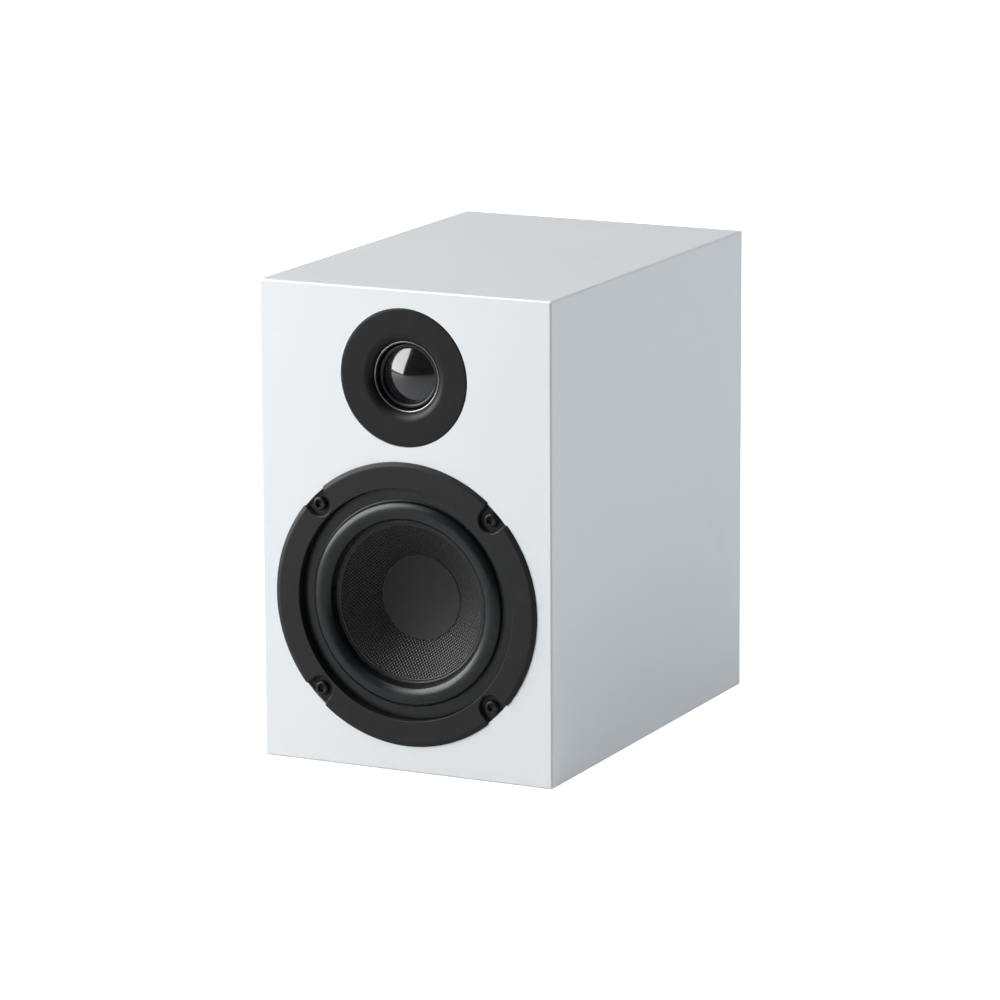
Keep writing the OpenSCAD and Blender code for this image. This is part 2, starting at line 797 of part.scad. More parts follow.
module terminal_cup() {
    outer_w = cup_w + 2 * cup_wall;
    outer_h = cup_h + 2 * cup_wall;
    color(satin_black) on_back(cup_rise) difference() {
        union() {
            round_slab(cup_flange_w, cup_flange_h, cup_corner + 3, -cup_flange_t, 0);
            round_slab(outer_w, outer_h, cup_corner, cup_floor - cup_wall, 0);
        }
        round_slab(cup_w, cup_h, cup_corner - 1, cup_floor, through);
        for (x = both) translate([x * post_spacing / 2, 0, 0])
            disc(stud_r + 0.1, cup_floor - cup_wall - through, 0);
        cup_corners() sunk_hole(2.9, 1.4, 6);
    }
}

module cup_seal() {
    color(rubber_black) on_back(cup_rise) difference() {
        round_slab(cup_flange_w - 1, cup_flange_h - 1, cup_corner + 2.5,
            -cup_flange_t - seal_t, -cup_flange_t);
        round_slab(cup_w + 2 * cup_wall + 1, cup_h + 2 * cup_wall + 1, cup_corner,
            -cup_flange_t - seal_t - through, through);
        cup_corners() disc(1.7, -cup_flange_t - seal_t - through, through);
    }
}

module cup_screws() {
    color("dimgray") on_back(cup_rise) cup_corners() sunk_screw(2.9, 1.35, 12);
}

// Threaded stud with a plug socket in its end and a cross hole for bare wire
module post_stud(side) {
    low = cup_floor - cup_wall - 7;
    color(brass) on_post(side) difference() {
        disc(stud_r, low, stud_top);
        disc(socket_r, stud_top - socket_len, stud_top + through);
        translate([0, 0, cup_floor + collar_t + knob_travel / 2]) rotate([0, 90, 0])
            cylinder(r = 1.5, h = 4 * stud_r, center = true);
    }
}

// Insulating collar on the cup's floor
module post_collar(side, tint) {
    color(tint) on_post(side)
        ring(knob_r + 0.5, stud_r + 0.1, cup_floor, cup_floor + collar_t);
}

// Loose washer that the knob pushes onto the wire
module clamp_washer(side) {
    color(brass) on_post(side)
        ring(knob_r - 0.9, stud_r + run, cup_floor + collar_t, knob_floor);
}

// Fluted knob that turns on the stud, open at its end for a plug
module post_knob(side, tint) {
    flutes = 16;
    opening = socket_r + 0.5;
    color(tint) on_post(side) difference() {
        union() {
            disc(knob_r, knob_floor, knob_top - 1);
            translate([0, 0, knob_top - 1])
                cylinder(r1 = knob_r, r2 = knob_r - 1, h = 1);
        }
        disc(stud_r + run, knob_floor - through, stud_top + 0.4);
        disc(opening, knob_floor, knob_top + through);
        around([for (k = [1:flutes]) 360 * k / flutes], knob_r + 0.4)
            disc(0.7, knob_floor + 2, knob_top + through);
    }
}

// Ring tags under the nuts, with a tail down to the wires
module solder_tags() {
    z = cup_floor - cup_wall;
    color(brass) for (side = both) on_post(side) difference() {
        union() {
            disc(5, z - tag_t, z);
            block([-2, -14, z - tag_t], [2, 0, z]);
        }
        disc(stud_r + 0.1, z - tag_t - through, z + through);
    }
}

module post_nuts() {
    z = cup_floor - cup_wall - tag_t;
    color(steel) for (side = both) on_post(side) difference() {
        disc(5.77, z - nut_t, z, $fn = 6);
        disc(stud_r + run, z - nut_t - through, z + through);
    }
}

// ---------------------------------------------------------------- crossover

module crossover_board() {
    color("darkgreen") on_board() difference() {
        round_slab(board_w, board_l, 2, 0, board_t);
        for (p = board_screws) translate(p) disc(1.7, -through, board_t + through);
    }
}

module crossover_spacers() {
    color("ivory") on_board() for (p = board_screws)
        translate(p) ring(3.5, 1.7, -spacer_h, 0);
}

module crossover_screws() {
    color("silver") on_board() for (p = board_screws) translate(p) difference() {
        union() {
            disc(1.45, -spacer_h - 6, board_t);
            disc(2.8, board_t, board_t + 2);
        }
        disc(1.2, board_t + 0.8, board_t + 2 + through, $fn = 6);
    }
}

// Air-core choke standing on the board: bobbin with its copper winding
module choke(place, core_r, flange_r, height, flange_t) {
    translate([place[0], place[1], board_t]) {
        color("black") ring(core_r, core_r - 2, 0, height);
        color("black") ring(flange_r, core_r - 2, 0, flange_t);
        color("black") ring(flange_r, core_r - 2, height - flange_t, height);
        color(copper) ring(flange_r - 1.5, core_r - 1, flange_t / 2, height - flange_t / 2);
    }
}

module woofer_inductor() {
    on_board() choke(woofer_choke, 8, 19, 22, 2);
}

module tweeter_inductor() {
    on_board() choke(tweeter_choke, 5, 13, 15, 1.6);
}

// Capacitor lying along X, with bent leads down to the board
module lying_capacitor(place, r, length) {
    lead_r = 0.4;
    reach = length / 2 + 3;
    translate([place[0], place[1], board_t + r]) {
        rotate([0, 90, 0]) cylinder(r = r, h = length, center = true);
        rotate([0, 90, 0]) cylinder(r = lead_r, h = 2 * reach, center = true);
        for (x = both) translate([x * reach, 0, -r]) cylinder(r = lead_r, h = r);
        for (x = both) translate([x * reach, 0, 0]) sphere(lead_r);
    }
}

module film_capacitor() {
    color("gold") on_board() lying_capacitor([19.5, 28], 9, 32);
}

module bipolar_capacitor() {
    color("midnightblue") on_board() lying_capacitor([21, 7], 6.5, 26);
}

// ---------------------------------------------------------------- wires

// Catmull-Rom point between p1 and p2
function spline_at(p0, p1, p2, p3, t) = 0.5 * (2 * p1 + (p2 - p0) * t
    + (2 * p0 - 5 * p1 + 4 * p2 - p3) * t * t
    + (3 * p1 - p0 - 3 * p2 + p3) * t * t * t);

// Smooth path through the points, with a few steps between each two
function smooth_path(p, steps = 4) = let (n = len(p) - 1) concat(
    [for (k = [0:n - 1], s = [0:steps - 1]) spline_at(p[max(k - 1, 0)], p[k], p[k + 1],
        p[min(k + 2, n)], s / steps)], [p[n]]);

function unit(v) = v / norm(v);

// Round tube along a path; the side direction keeps each ring from twisting
module tube(path, r, side = [0.8, 0.33, 0.5], sides = 8) {
    n = len(path) - 1;
    along = [for (k = [0:n]) unit(path[min(k + 1, n)] - path[max(k - 1, 0)])];
    points = [for (k = [0:n]) let (u = unit(cross(along[k], side)), v = cross(along[k], u))
        for (s = [0:sides - 1]) path[k]
            + r * (cos(360 * s / sides) * u + sin(360 * s / sides) * v)];
    walls = [for (k = [0:n - 1], s = [0:sides - 1]) let (t = (s + 1) % sides)
        [k * sides + s, (k + 1) * sides + s, (k + 1) * sides + t, k * sides + t]];
    caps = [[for (s = [0:sides - 1]) s], [for (s = [sides - 1:-1:0]) n * sides + s]];
    polyhedron(points, concat(walls, caps));
}

// Ends that the wires meet
woofer_tab_end = [tab_x, front_y - woofer_tab_z + 3, woofer_rise - strip_y - 2];
tweeter_tab_end = [tab_x, front_y - tweeter_board_z + tweeter_board_t + tweeter_tab_len + 3,
    cabinet_h - tweeter_drop];
tag_end = [post_spacing / 2, back_y + cup_floor - cup_wall - 2 * tag_t, cup_rise - 12];

// Straight last stretch of a wire that ends at e and comes from direction d
function straight_in(e, d) = [e + 2 * d, e + d, e];

// Straight first stretch of a wire that starts at e and leaves along d
function straight_out(e, d) = [e, e + d, e + 2 * d];

// Point on the board's top; its wire stands up from there
function pad(x, y) = [x, board_y + y, board_top];

// Post to the board's rear edge; side is -1 or 1
function input_route(side) = let (e = tag_end, b = pad(side * 12, board_l / 2 - 4))
    concat(straight_out([side * e[0], e[1], e[2]], [0, -2, 0]),
        [[side * 12, lerp(e[1], b[1], 0.6), lerp(e[2], b[2], 0.35)]],
        straight_in(b, [0, 0, 3]));

// Where the woofer's wires leave the board: its front edge, or behind the tabs if they
// reach further back
woofer_pad_y = max(6 - board_l / 2, woofer_tab_end[1] + 8 - board_y);

// Board to the woofer's tab
function woofer_route(side) = let (e = woofer_tab_end, b = pad(side * 5, woofer_pad_y))
    concat(straight_out(b, [0, 0, 3]),
        [[side * 6.5, lerp(b[1], e[1], 0.4), lerp(b[2], e[2], 0.85)]],
        straight_in([side * e[0], e[1], e[2]], [0, 2, 0]));

// Board's front left corner, up the left side behind the motor, to the tweeter's tab
function tweeter_route(side) = let (e = tweeter_tab_end, x = -30 + 3 * side,
    b = pad(x, 7 - board_l / 2))
    concat(straight_out(b, [0, 0, 3]),
        [[x - 14, b[1] + 2, b[2] + 28], [x - 15, b[1] + 1, woofer_rise + 20],
         [x - 14, b[1] - 3, e[2] - 40], [x - 2, b[1] - 12, e[2] - 12],
         [side * e[0] - 2, e[1] + 13, e[2] - 2]],
        straight_in([side * e[0], e[1], e[2]], [0, 3, 0]));

// Fine braided lead from the strip, through the basket's window, to the cone's back
function tinsel_route(side) = let (x = side * tab_x)
    [[x, -strip_y + 0.55, floor_z + 8.7], [x, -strip_y + 2.5, ledge_z + 4],
     [side * 7, -30, ledge_z + 6], [side * 6, -23.5, ledge_z + 5.5],
     [side * 5, -18.5, cone_z(19.2) - 1.2]];

module woofer_tinsel_leads() {
    color("silver") on_woofer() for (side = both)
        tube(smooth_path(tinsel_route(side)), 0.5, side = [1, 0.1, 0]);
}

module red_wires() {
    color(terminal_red) {
        tube(smooth_path(input_route(-1)), wire_r);
        tube(smooth_path(woofer_route(1)), wire_r);
        tube(smooth_path(tweeter_route(1)), wire_r);
    }
}

module black_wires() {
    color("black") {
        tube(smooth_path(input_route(1)), wire_r);
        tube(smooth_path(woofer_route(-1)), wire_r);
        tube(smooth_path(tweeter_route(-1)), wire_r);
    }
}

front_baffle();
back_panel();
top_panel();
bottom_panel();
side_panel(-1);  // left_panel
side_panel(1);  // right_panel
damping_wadding();
woofer_basket();
woofer_seal();
woofer_screws();
woofer_inserts();
woofer_surround();
woofer_cone();
woofer_dust_cap();
woofer_coil_former();
woofer_voice_coil();
woofer_spider();
woofer_top_plate();
woofer_magnet();
woofer_yoke();
woofer_terminal_strip();
woofer_terminal_tabs();
woofer_tinsel_leads();
tweeter_faceplate();
tweeter_chassis();
tweeter_seal();
tweeter_screws();
tweeter_dome();
tweeter_surround();
tweeter_voice_coil();
tweeter_top_plate();
tweeter_magnet();
tweeter_yoke();
tweeter_felt_pad();
tweeter_terminal_board();
tweeter_terminal_tabs();
tab_connectors();
port_tube();
terminal_cup();
cup_seal();
cup_screws();
post_stud(1);  // red_post_stud
post_stud(-1);  // black_post_stud
post_collar(1, terminal_red);  // red_post_collar
post_collar(-1, satin_black);  // black_post_collar
clamp_washer(1);  // red_clamp_washer
clamp_washer(-1);  // black_clamp_washer
post_knob(1, terminal_red);  // red_post_knob
post_knob(-1, satin_black);  // black_post_knob
solder_tags();
post_nuts();
crossover_board();
crossover_spacers();
crossover_screws();
woofer_inductor();
tweeter_inductor();
film_capacitor();
bipolar_capacitor();
red_wires();
black_wires();
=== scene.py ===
import math
import bpy
import bmesh
import numpy as np
from mathutils import Matrix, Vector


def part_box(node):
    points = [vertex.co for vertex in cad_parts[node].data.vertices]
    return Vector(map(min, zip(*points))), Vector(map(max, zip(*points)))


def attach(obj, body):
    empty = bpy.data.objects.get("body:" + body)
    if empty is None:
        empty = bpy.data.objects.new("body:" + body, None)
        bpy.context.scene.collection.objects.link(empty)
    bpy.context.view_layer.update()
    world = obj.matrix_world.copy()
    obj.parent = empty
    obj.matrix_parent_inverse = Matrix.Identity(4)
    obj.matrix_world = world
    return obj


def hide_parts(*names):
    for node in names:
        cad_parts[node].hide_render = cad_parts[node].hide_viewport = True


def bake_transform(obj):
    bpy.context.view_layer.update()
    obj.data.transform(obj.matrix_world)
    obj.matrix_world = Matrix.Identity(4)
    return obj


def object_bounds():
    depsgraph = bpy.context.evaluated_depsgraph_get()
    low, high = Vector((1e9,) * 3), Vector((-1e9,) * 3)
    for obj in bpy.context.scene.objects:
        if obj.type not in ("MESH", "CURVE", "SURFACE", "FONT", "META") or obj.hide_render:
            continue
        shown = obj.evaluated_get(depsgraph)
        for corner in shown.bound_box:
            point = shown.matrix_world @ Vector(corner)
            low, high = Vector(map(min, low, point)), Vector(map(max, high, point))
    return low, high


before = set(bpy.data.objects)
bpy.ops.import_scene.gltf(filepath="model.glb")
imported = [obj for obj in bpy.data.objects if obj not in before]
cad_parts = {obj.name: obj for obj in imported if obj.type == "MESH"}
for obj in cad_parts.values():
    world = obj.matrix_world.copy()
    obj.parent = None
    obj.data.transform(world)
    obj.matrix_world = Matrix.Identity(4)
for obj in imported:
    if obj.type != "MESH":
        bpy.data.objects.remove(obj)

# Compact bookshelf speaker: lacquered cabinet, dome tweeter, woven-cone woofer, rear port
# and binding posts. Shapes are worked out in millimetres on each driver's own axes and
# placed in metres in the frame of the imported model.

mm = 0.001
fullTurn = 2 * math.pi
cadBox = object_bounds()


def middle(node):
    low, high = (np.array(corner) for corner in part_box(node))
    return (low + high) / 2


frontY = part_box("front_baffle")[0][1]
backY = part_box("back_panel")[1][1]
woofer = {"height": middle("woofer_cone")[2], "screwCircle": 62.5, "screwAngles": (45, 135, 225, 315)}
tweeter = {"height": middle("tweeter_faceplate")[2]}
terminals = {"height": middle("red_post_stud")[2], "postShift": 9.5}


# ---- placing and mesh making

def onBaffle(local, height):
    # x right, y up, z out of the baffle -> (x, frontY - z, height + y)
    x, y, z = local[..., 0], local[..., 1], local[..., 2]
    return np.stack([x * mm, frontY - z * mm, height + y * mm], -1)


def onBack(local, height, shift=0.0):
    # y up, z out of the back panel, x to the right seen from behind -> (shift - x, backY + z, height + y)
    x, y, z = local[..., 0], local[..., 1], local[..., 2]
    return np.stack([(shift - x) * mm, backY + z * mm, height + y * mm], -1)


def gridQuads(rows, columns, closeRows, closeColumns):
    # one quad per cell of a rows x columns grid; a closed direction joins its last line to its first
    i = np.arange(rows if closeRows else rows - 1)[:, None]
    j = np.arange(columns if closeColumns else columns - 1)[None, :]
    i2, j2 = (i + 1) % rows, (j + 1) % columns
    quads = np.stack([i * columns + j, i * columns + j2, i2 * columns + j2, i2 * columns + j], -1)
    return quads.reshape(-1, 4)


def shell(grid, closeRows=True, closeColumns=True):
    # a grid of points, (rows, columns, 3), with its quads
    return grid.reshape(-1, 3), gridQuads(grid.shape[0], grid.shape[1], closeRows, closeColumns)


def wooferShell(grid, closeRows=True):
    return shell(onBaffle(grid, woofer["height"]), closeRows)


def tweeterShell(grid, closeRows=True):
    return shell(onBaffle(grid, tweeter["height"]), closeRows)


def makePiece(name, shells, body, finish, hides=(), sharpAngle=32):
    # joins closed shells into one mesh, merges the points at its poles, faces it outwards
    counts = np.cumsum([0] + [len(points) for points, quads in shells])
    points = np.concatenate([points for points, quads in shells])
    quads = np.concatenate([quads + start for (_, quads), start in zip(shells, counts)])
    mesh = bpy.data.meshes.new(name)
    mesh.from_pydata(points.tolist(), [], quads.tolist())
    work = bmesh.new()
    work.from_mesh(mesh)
    bmesh.ops.remove_doubles(work, verts=work.verts, dist=1e-6)
    bmesh.ops.dissolve_degenerate(work, edges=work.edges, dist=1e-7)
    bmesh.ops.recalc_face_normals(work, faces=work.faces)
    work.to_mesh(mesh)
    work.free()
    mesh.shade_smooth()
    mesh.set_sharp_from_angle(angle=math.radians(sharpAngle))
    piece = bpy.data.objects.new(name, mesh)
    bpy.context.scene.collection.objects.link(piece)
    mesh.materials.append(finish)
    if body:
        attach(piece, body)
    if hides:
        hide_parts(*hides)
    print("made", name, len(mesh.polygons), "faces")
    return piece


def rounded(corners, steps=4):
    # outline through (r, z, reach) corners; a corner with reach becomes the curve
    # (1-t)^2 a + 2t(1-t) c + t^2 b between the points that far before and after it
    out = []
    count = len(corners)
    for k, (r, z, reach) in enumerate(corners):
        here = np.array([r, z], float)
        if reach <= 0:
            out.append(here[None])
            continue
        before = np.array(corners[k - 1][:2], float) - here
        after = np.array(corners[(k + 1) % count][:2], float) - here
        a = here + before * min(reach / np.linalg.norm(before), 0.5)
        b = here + after * min(reach / np.linalg.norm(after), 0.5)
        t = np.linspace(0, 1, steps + 1)[:, None]
        out.append((1 - t) ** 2 * a + 2 * t * (1 - t) * here + t ** 2 * b)
    return np.concatenate(out)


def lathe(outline, turns=160, angles=None):
    # point = (r cos a, r sin a, z) for each (r, z) of the outline and each angle a
    a = np.linspace(0, fullTurn, turns, endpoint=False) if angles is None else angles
    r = outline[:, :1]
    z = np.broadcast_to(outline[:, 1:], (len(outline), len(a)))
    return np.stack([r * np.cos(a), r * np.sin(a), z], -1)


def turnedTo(grid, angle, radius):
    # the grid turned about z by an angle in degrees and carried out to a radius
    c, s = math.cos(math.radians(angle)), math.sin(math.radians(angle))
    x, y = grid[..., 0] + radius, grid[..., 1]
    return np.stack([x * c - y * s, x * s + y * c, grid[..., 2]], -1)


def rectLoft(rows, perCorner=8):
    # rings round a rounded rectangle, one for each (half width, half height, corner radius, z):
    # point = corner centre + radius (cos a, sin a), the four corners in turn
    a = np.linspace(0, math.pi / 2, perCorner)
    a = np.concatenate([a + k * math.pi / 2 for k in range(4)])
    sx = np.repeat([1, -1, -1, 1], perCorner)
    sy = np.repeat([1, 1, -1, -1], perCorner)
    w, h, radius, z = (np.array(v, float)[:, None] for v in zip(*rows))
    x = sx * (w - radius) + radius * np.cos(a)
    y = sy * (h - radius) + radius * np.sin(a)
    return np.stack([x, y, np.broadcast_to(z, x.shape)], -1)


# ---- materials

def plug(tree, socket, value):
    if isinstance(value, bpy.types.NodeSocket):
        tree.links.new(value, socket)
    else:
        socket.default_value = value


def addNode(tree, kind, inputs=None, **settings):
    made = tree.nodes.new(kind)
    for key, value in settings.items():
        setattr(made, key, value)
    for key, value in (inputs or {}).items():
        plug(tree, made.inputs[key], value)
    return made


def calc(tree, operation, a, b=0.0, c=0.0):
    return addNode(tree, "ShaderNodeMath", {0: a, 1: b, 2: c}, operation=operation).outputs[0]


def startMaterial(name, constants):
    material = bpy.data.materials.new(name)
    material.use_nodes = True
    tree = material.node_tree
    shader = tree.nodes["Principled BSDF"]
    for key, value in constants.items():
        shader.inputs[key].default_value = value
    return material, tree, addNode(tree, "ShaderNodeTexCoord").outputs["Object"]


def noiseOf(tree, place, size, detail=2.0, rough=0.5, stretch=(1, 1, 1)):
    # noise whose features are about `size` metres, longer along an axis with a larger stretch
    scale = tuple(1 / (size * s) for s in stretch)
    scaled = addNode(tree, "ShaderNodeMapping", {"Vector": place, "Scale": scale})
    made = addNode(tree, "ShaderNodeTexNoise", {"Vector": scaled.outputs[0], "Scale": 1.0, "Detail": detail,
                                                "Roughness": rough})
    return made.outputs["Fac"]


def spread(tree, factor, low, high, fromLow=0.3, fromHigh=0.7):
    return addNode(tree, "ShaderNodeMapRange", {"Value": factor, "From Min": fromLow, "From Max": fromHigh,
                                                "To Min": low, "To Max": high}).outputs[0]


def mixColour(tree, factor, dark, light):
    made = addNode(tree, "ShaderNodeMix", {"Factor": factor}, data_type="RGBA")
    plug(tree, made.inputs[6], (*dark, 1) if isinstance(dark, tuple) else dark)
    plug(tree, made.inputs[7], (*light, 1) if isinstance(light, tuple) else light)
    return made.outputs[2]


def bumpOf(tree, height, depth, normal=None):
    made = addNode(tree, "ShaderNodeBump", {"Height": height, "Distance": depth, "Strength": 1.0})
    if normal is not None:
        tree.links.new(normal, made.inputs["Normal"])
    return made.outputs[0]


def dress(material, colour, rough, normal):
    shader = material.node_tree.nodes["Principled BSDF"]
    for key, value in (("Base Color", colour), ("Roughness", rough), ("Normal", normal)):
        plug(material.node_tree, shader.inputs[key], value)
    return material


def plainFinish(name, dark, light, rough, skin, blotch=0.02, stretch=(1, 1, 1), wave=None, **constants):
    # colour and roughness drift with a broad noise, the skin is a fine noise of (size, depth); wave
    # adds a second, longer ripple of (size, depth)
    material, tree, place = startMaterial(name, constants)
    broad = noiseOf(tree, place, blotch, 3.0)
    fine = noiseOf(tree, place, skin[0], 3.0, 0.6, stretch)
    both = calc(tree, "ADD", calc(tree, "MULTIPLY", broad, 0.6), calc(tree, "MULTIPLY", fine, 0.4))
    colour = mixColour(tree, spread(tree, both, 0, 1), dark, light)
    roughness = spread(tree, both, rough[0], rough[1])
    normal = bumpOf(tree, fine, skin[1])
    if wave:
        normal = bumpOf(tree, noiseOf(tree, place, wave[0], 1.0), wave[1], normal)
    return dress(material, colour, roughness, normal)


def weaveOn(tree, place, pitch, angle):
    # plain weave seen from the front, threads along u and v at a pitch and an angle in degrees:
    # over = cos(pi u) cos(pi v), above zero where the first thread is on top; height = the larger
    # of |cos(pi u)|^round (level + swing over) and |cos(pi v)|^round (level - swing over)
    level, swing, roundness = 0.55, 0.45, 0.7
    turned = addNode(tree, "ShaderNodeMapping", {"Vector": place, "Rotation": (0, math.radians(angle), 0)},
                     vector_type="POINT").outputs[0]
    scaled = addNode(tree, "ShaderNodeVectorMath", {0: turned}, operation="SCALE")
    scaled.inputs["Scale"].default_value = math.pi / pitch
    parts = addNode(tree, "ShaderNodeSeparateXYZ", {0: scaled.outputs[0]})
    cosU, cosV = (calc(tree, "COSINE", parts.outputs[k]) for k in ("X", "Z"))
    over = calc(tree, "MULTIPLY", cosU, cosV)
    lift = calc(tree, "MULTIPLY_ADD", over, swing, level)
    sink = calc(tree, "MULTIPLY_ADD", over, -swing, level)
    warp = calc(tree, "MULTIPLY", calc(tree, "POWER", calc(tree, "ABSOLUTE", cosU), roundness), lift)
    weft = calc(tree, "MULTIPLY", calc(tree, "POWER", calc(tree, "ABSOLUTE", cosV), roundness), sink)
    return calc(tree, "MAXIMUM", warp, weft)


lacquer = plainFinish("CabinetLacquer", (0.776, 0.806, 0.826), (0.782, 0.812, 0.832), (0.27, 0.33),
                      skin=(0.0006, 0.000004), blotch=0.05, wave=(0.0035, 0.000012),
                      **{"Coat Weight": 0.25, "Coat Roughness": 0.12, "Specular IOR Level": 0.4})
castBlack = plainFinish("BasketBlack", (0.0085, 0.0085, 0.0095), (0.0120, 0.0120, 0.0130), (0.40, 0.52),
                        skin=(0.00035, 0.00002), blotch=0.012, **{"Specular IOR Level": 0.32})
plateBlack = plainFinish("FaceplateBlack", (0.0075, 0.0075, 0.0085), (0.0105, 0.0105, 0.0115), (0.33, 0.44),
                         skin=(0.00028, 0.000012), blotch=0.010, **{"Specular IOR Level": 0.26})
rollRubber = plainFinish("SurroundRubber", (0.0040, 0.0048, 0.0056), (0.0070, 0.0080, 0.0090), (0.26, 0.36),
                         skin=(0.0005, 0.000018), blotch=0.006, **{"Specular IOR Level": 0.48})
capMatt = plainFinish("DustCapMatt", (0.012, 0.012, 0.013), (0.017, 0.017, 0.018), (0.50, 0.60),
                      skin=(0.00045, 0.00003), blotch=0.006, **{"Specular IOR Level": 0.28})
glueGloss = plainFinish("CapGlue", (0.008, 0.008, 0.009), (0.015, 0.015, 0.016), (0.10, 0.22),
                        skin=(0.0012, 0.00006), blotch=0.003)
domeGloss = plainFinish("DomeGloss", (0.006, 0.006, 0.007), (0.010, 0.010, 0.012), (0.10, 0.17),
                        skin=(0.0004, 0.000003), blotch=0.004, wave=(0.0022, 0.000012),
                        **{"Coat Weight": 1.0, "Coat Roughness": 0.04, "Specular IOR Level": 0.65})
ringSheen = plainFinish("ThroatRingSheen", (0.20, 0.20, 0.205), (0.30, 0.30, 0.305), (0.16, 0.28),
                        skin=(0.0006, 0.000004), blotch=0.005, **{"Metallic": 0.9})
screwBlack = plainFinish("ScrewBlack", (0.010, 0.010, 0.011), (0.022, 0.022, 0.024), (0.25, 0.42),
                         skin=(0.00025, 0.00001), blotch=0.0015, **{"Metallic": 0.55})


def coneFinish():
    # the gap colour is painted shade for the hollows between the threads
    look = {"pitch": 0.00118, "angle": 41, "depth": 0.00028, "thread": (0.0045, 0.0045, 0.005),
            "gap": (0.0012, 0.0012, 0.0015)}
    material, tree, place = startMaterial("ConeWeave", {"Specular IOR Level": 0.62})
    height = weaveOn(tree, place, look["pitch"], look["angle"])
    fibre = noiseOf(tree, place, 0.00018, 2.0)
    # painted shade: the colour goes to the dark gap colour in the hollows between the threads, lighter on the threads
    shown = spread(tree, height, 0, 1, 0.5, 0.92)
    colour = mixColour(tree, shown, look["gap"], look["thread"])
    rough = spread(tree, calc(tree, "MULTIPLY_ADD", fibre, 0.15, shown), 1.0, 0.2, 0.0, 1.0)
    return dress(material, colour, rough, bumpOf(tree, height, look["depth"], bumpOf(tree, fibre, 0.000008)))


coneWeave = coneFinish()
print("materials for the front ready")


# ---- woofer frame: front ring with four screw pockets, six ribs, rear ring

def basketFront():
    ring = {"lipR": 67.5, "baseR": 66.7, "landOutR": 65.4, "landInR": 55.2, "landZ": 1.2, "seatZ": -3.6,
            "pocketR": 5.45, "pocketWall": 1.25, "pocketZ": -1.2, "flare": 0.045, "wallPower": 3.5,
            "fineReach": 7.6, "fineStep": 0.13, "coarseStep": 1.1}
    land = ring["landZ"]
    coarse = np.linspace(64.9, 59.2, 20)
    fine = np.linspace(59.1, 55.75, 26)
    top = np.concatenate([
        [[ring["baseR"], -0.6], [ring["baseR"], 0.02], [ring["lipR"] - 0.1, 0.02], [ring["lipR"], 0.1],
         [ring["lipR"] - 0.03, 0.3], [ring["lipR"] - 0.2, 0.46]],
        np.stack([np.linspace(67.0, 65.7, 7), np.linspace(0.60, 1.10, 7)], -1),
        [[ring["landOutR"], 1.175], [65.1, land]],
        np.stack([coarse, np.full(20, land)], -1), np.stack([fine, np.full(26, land)], -1)])
    rest = rounded([(55.75, land, 0), (ring["landInR"], land, 0.45), (ring["landInR"], ring["seatZ"], 0.15),
                    (49.55, ring["seatZ"], 0.1), (49.55, -6.6, 0.3), (52.5, -8.6, 0.5), (55.4, -10.6, 0.3),
                    (57.5, -8.2, 0.3), (57.5, -4.0, 0.2), (ring["baseR"], -4.0, 0.3)])[1:]
    # closely spaced angles round each pocket, wider ones from there to the next pocket
    near = ring["fineReach"]
    spans = [np.arange(centre - near, centre + near, ring["fineStep"]) for centre in woofer["screwAngles"]]
    between = [np.arange(centre + near, centre + (90 - near), ring["coarseStep"])
               for centre in woofer["screwAngles"]]
    angles = np.radians(np.concatenate([part for pair in zip(spans, between) for part in pair]))
    grid = lathe(np.concatenate([top, rest]), angles=angles)
    # inside a pocket each top point sinks to the pocket's floor, and the lip draws in to the base;
    # d = distance to the U's middle line, share = (1 - t)^power with t growing over the wall
    x, y = grid[..., 0], grid[..., 1]
    share = np.zeros_like(x)
    for centre in np.radians(woofer["screwAngles"]):
        u = x * math.cos(centre) + y * math.sin(centre) - woofer["screwCircle"]
        v = -x * math.sin(centre) + y * math.cos(centre)
        d = np.hypot(np.minimum(u, 0), v) - ring["flare"] * np.maximum(u, 0) ** 2
        t = np.clip((d - ring["pocketR"]) / ring["pocketWall"], 0, 1)
        share = np.where(u > -10, np.maximum(share, (1 - t) ** ring["wallPower"]), share)
    share[len(top):] = 0
    radius = np.hypot(x, y)
    sunkR = np.minimum(radius, ring["baseR"])
    newR = radius + (sunkR - radius) * share
    newZ = grid[..., 2] + (np.minimum(grid[..., 2], ring["pocketZ"]) - grid[..., 2]) * share
    newZ[0] = np.minimum(newZ[0], newZ[1] - 0.2)
    scale = newR / radius
    return np.stack([x * scale, y * scale, newZ], -1)


def basketRib(angle):
    # a curved strip of the bowl's wall, one loop for each (inner radius, outer radius, their
    # depths); the first and the last loop are drawn together to one point
    reach = np.radians(np.linspace(-12, 12, 9))
    there = np.concatenate([reach, reach[::-1]])
    count = len(there)
    isInner = np.arange(count) < len(reach)
    loops = [(50, 55, -7.0, -6.2), (52.5, 57.5, -8.6, -8.0), (50.4, 55.2, -10.5, -10.2), (44.0, 47.6, -18.0, -18.0),
             (38.2, 40.8, -24.9, -25.4), (37.6, 39.9, -27.5, -27.5), (38.7, 38.7, -27.6, -27.6)]
    rows = []
    for k, (inner, outer, zIn, zOut) in enumerate(loops):
        a, r, z = there, np.where(isInner, inner, outer), np.where(isInner, zIn, zOut)
        if k in (0, len(loops) - 1):
            a, r, z = np.zeros(count), np.full(count, (inner + outer) / 2), np.full(count, (zIn + zOut) / 2)
        rows.append(np.stack([r * np.cos(a), r * np.sin(a), z], -1))
    return turnedTo(np.array(rows), angle, 0)


rearRing = lathe(rounded([(40.0, -24.7, 0.4), (40.0, -32.75, 0.3), (37.3, -35.7, 0.3), (16.0, -35.7, 0.2),
                          (16.0, -32.75, 0.2), (33.5, -32.75, 0.3), (33.5, -25.3, 0.2), (37.4, -25.3, 0.1),
                          (38.2, -24.7, 0.2)], 3), 120)
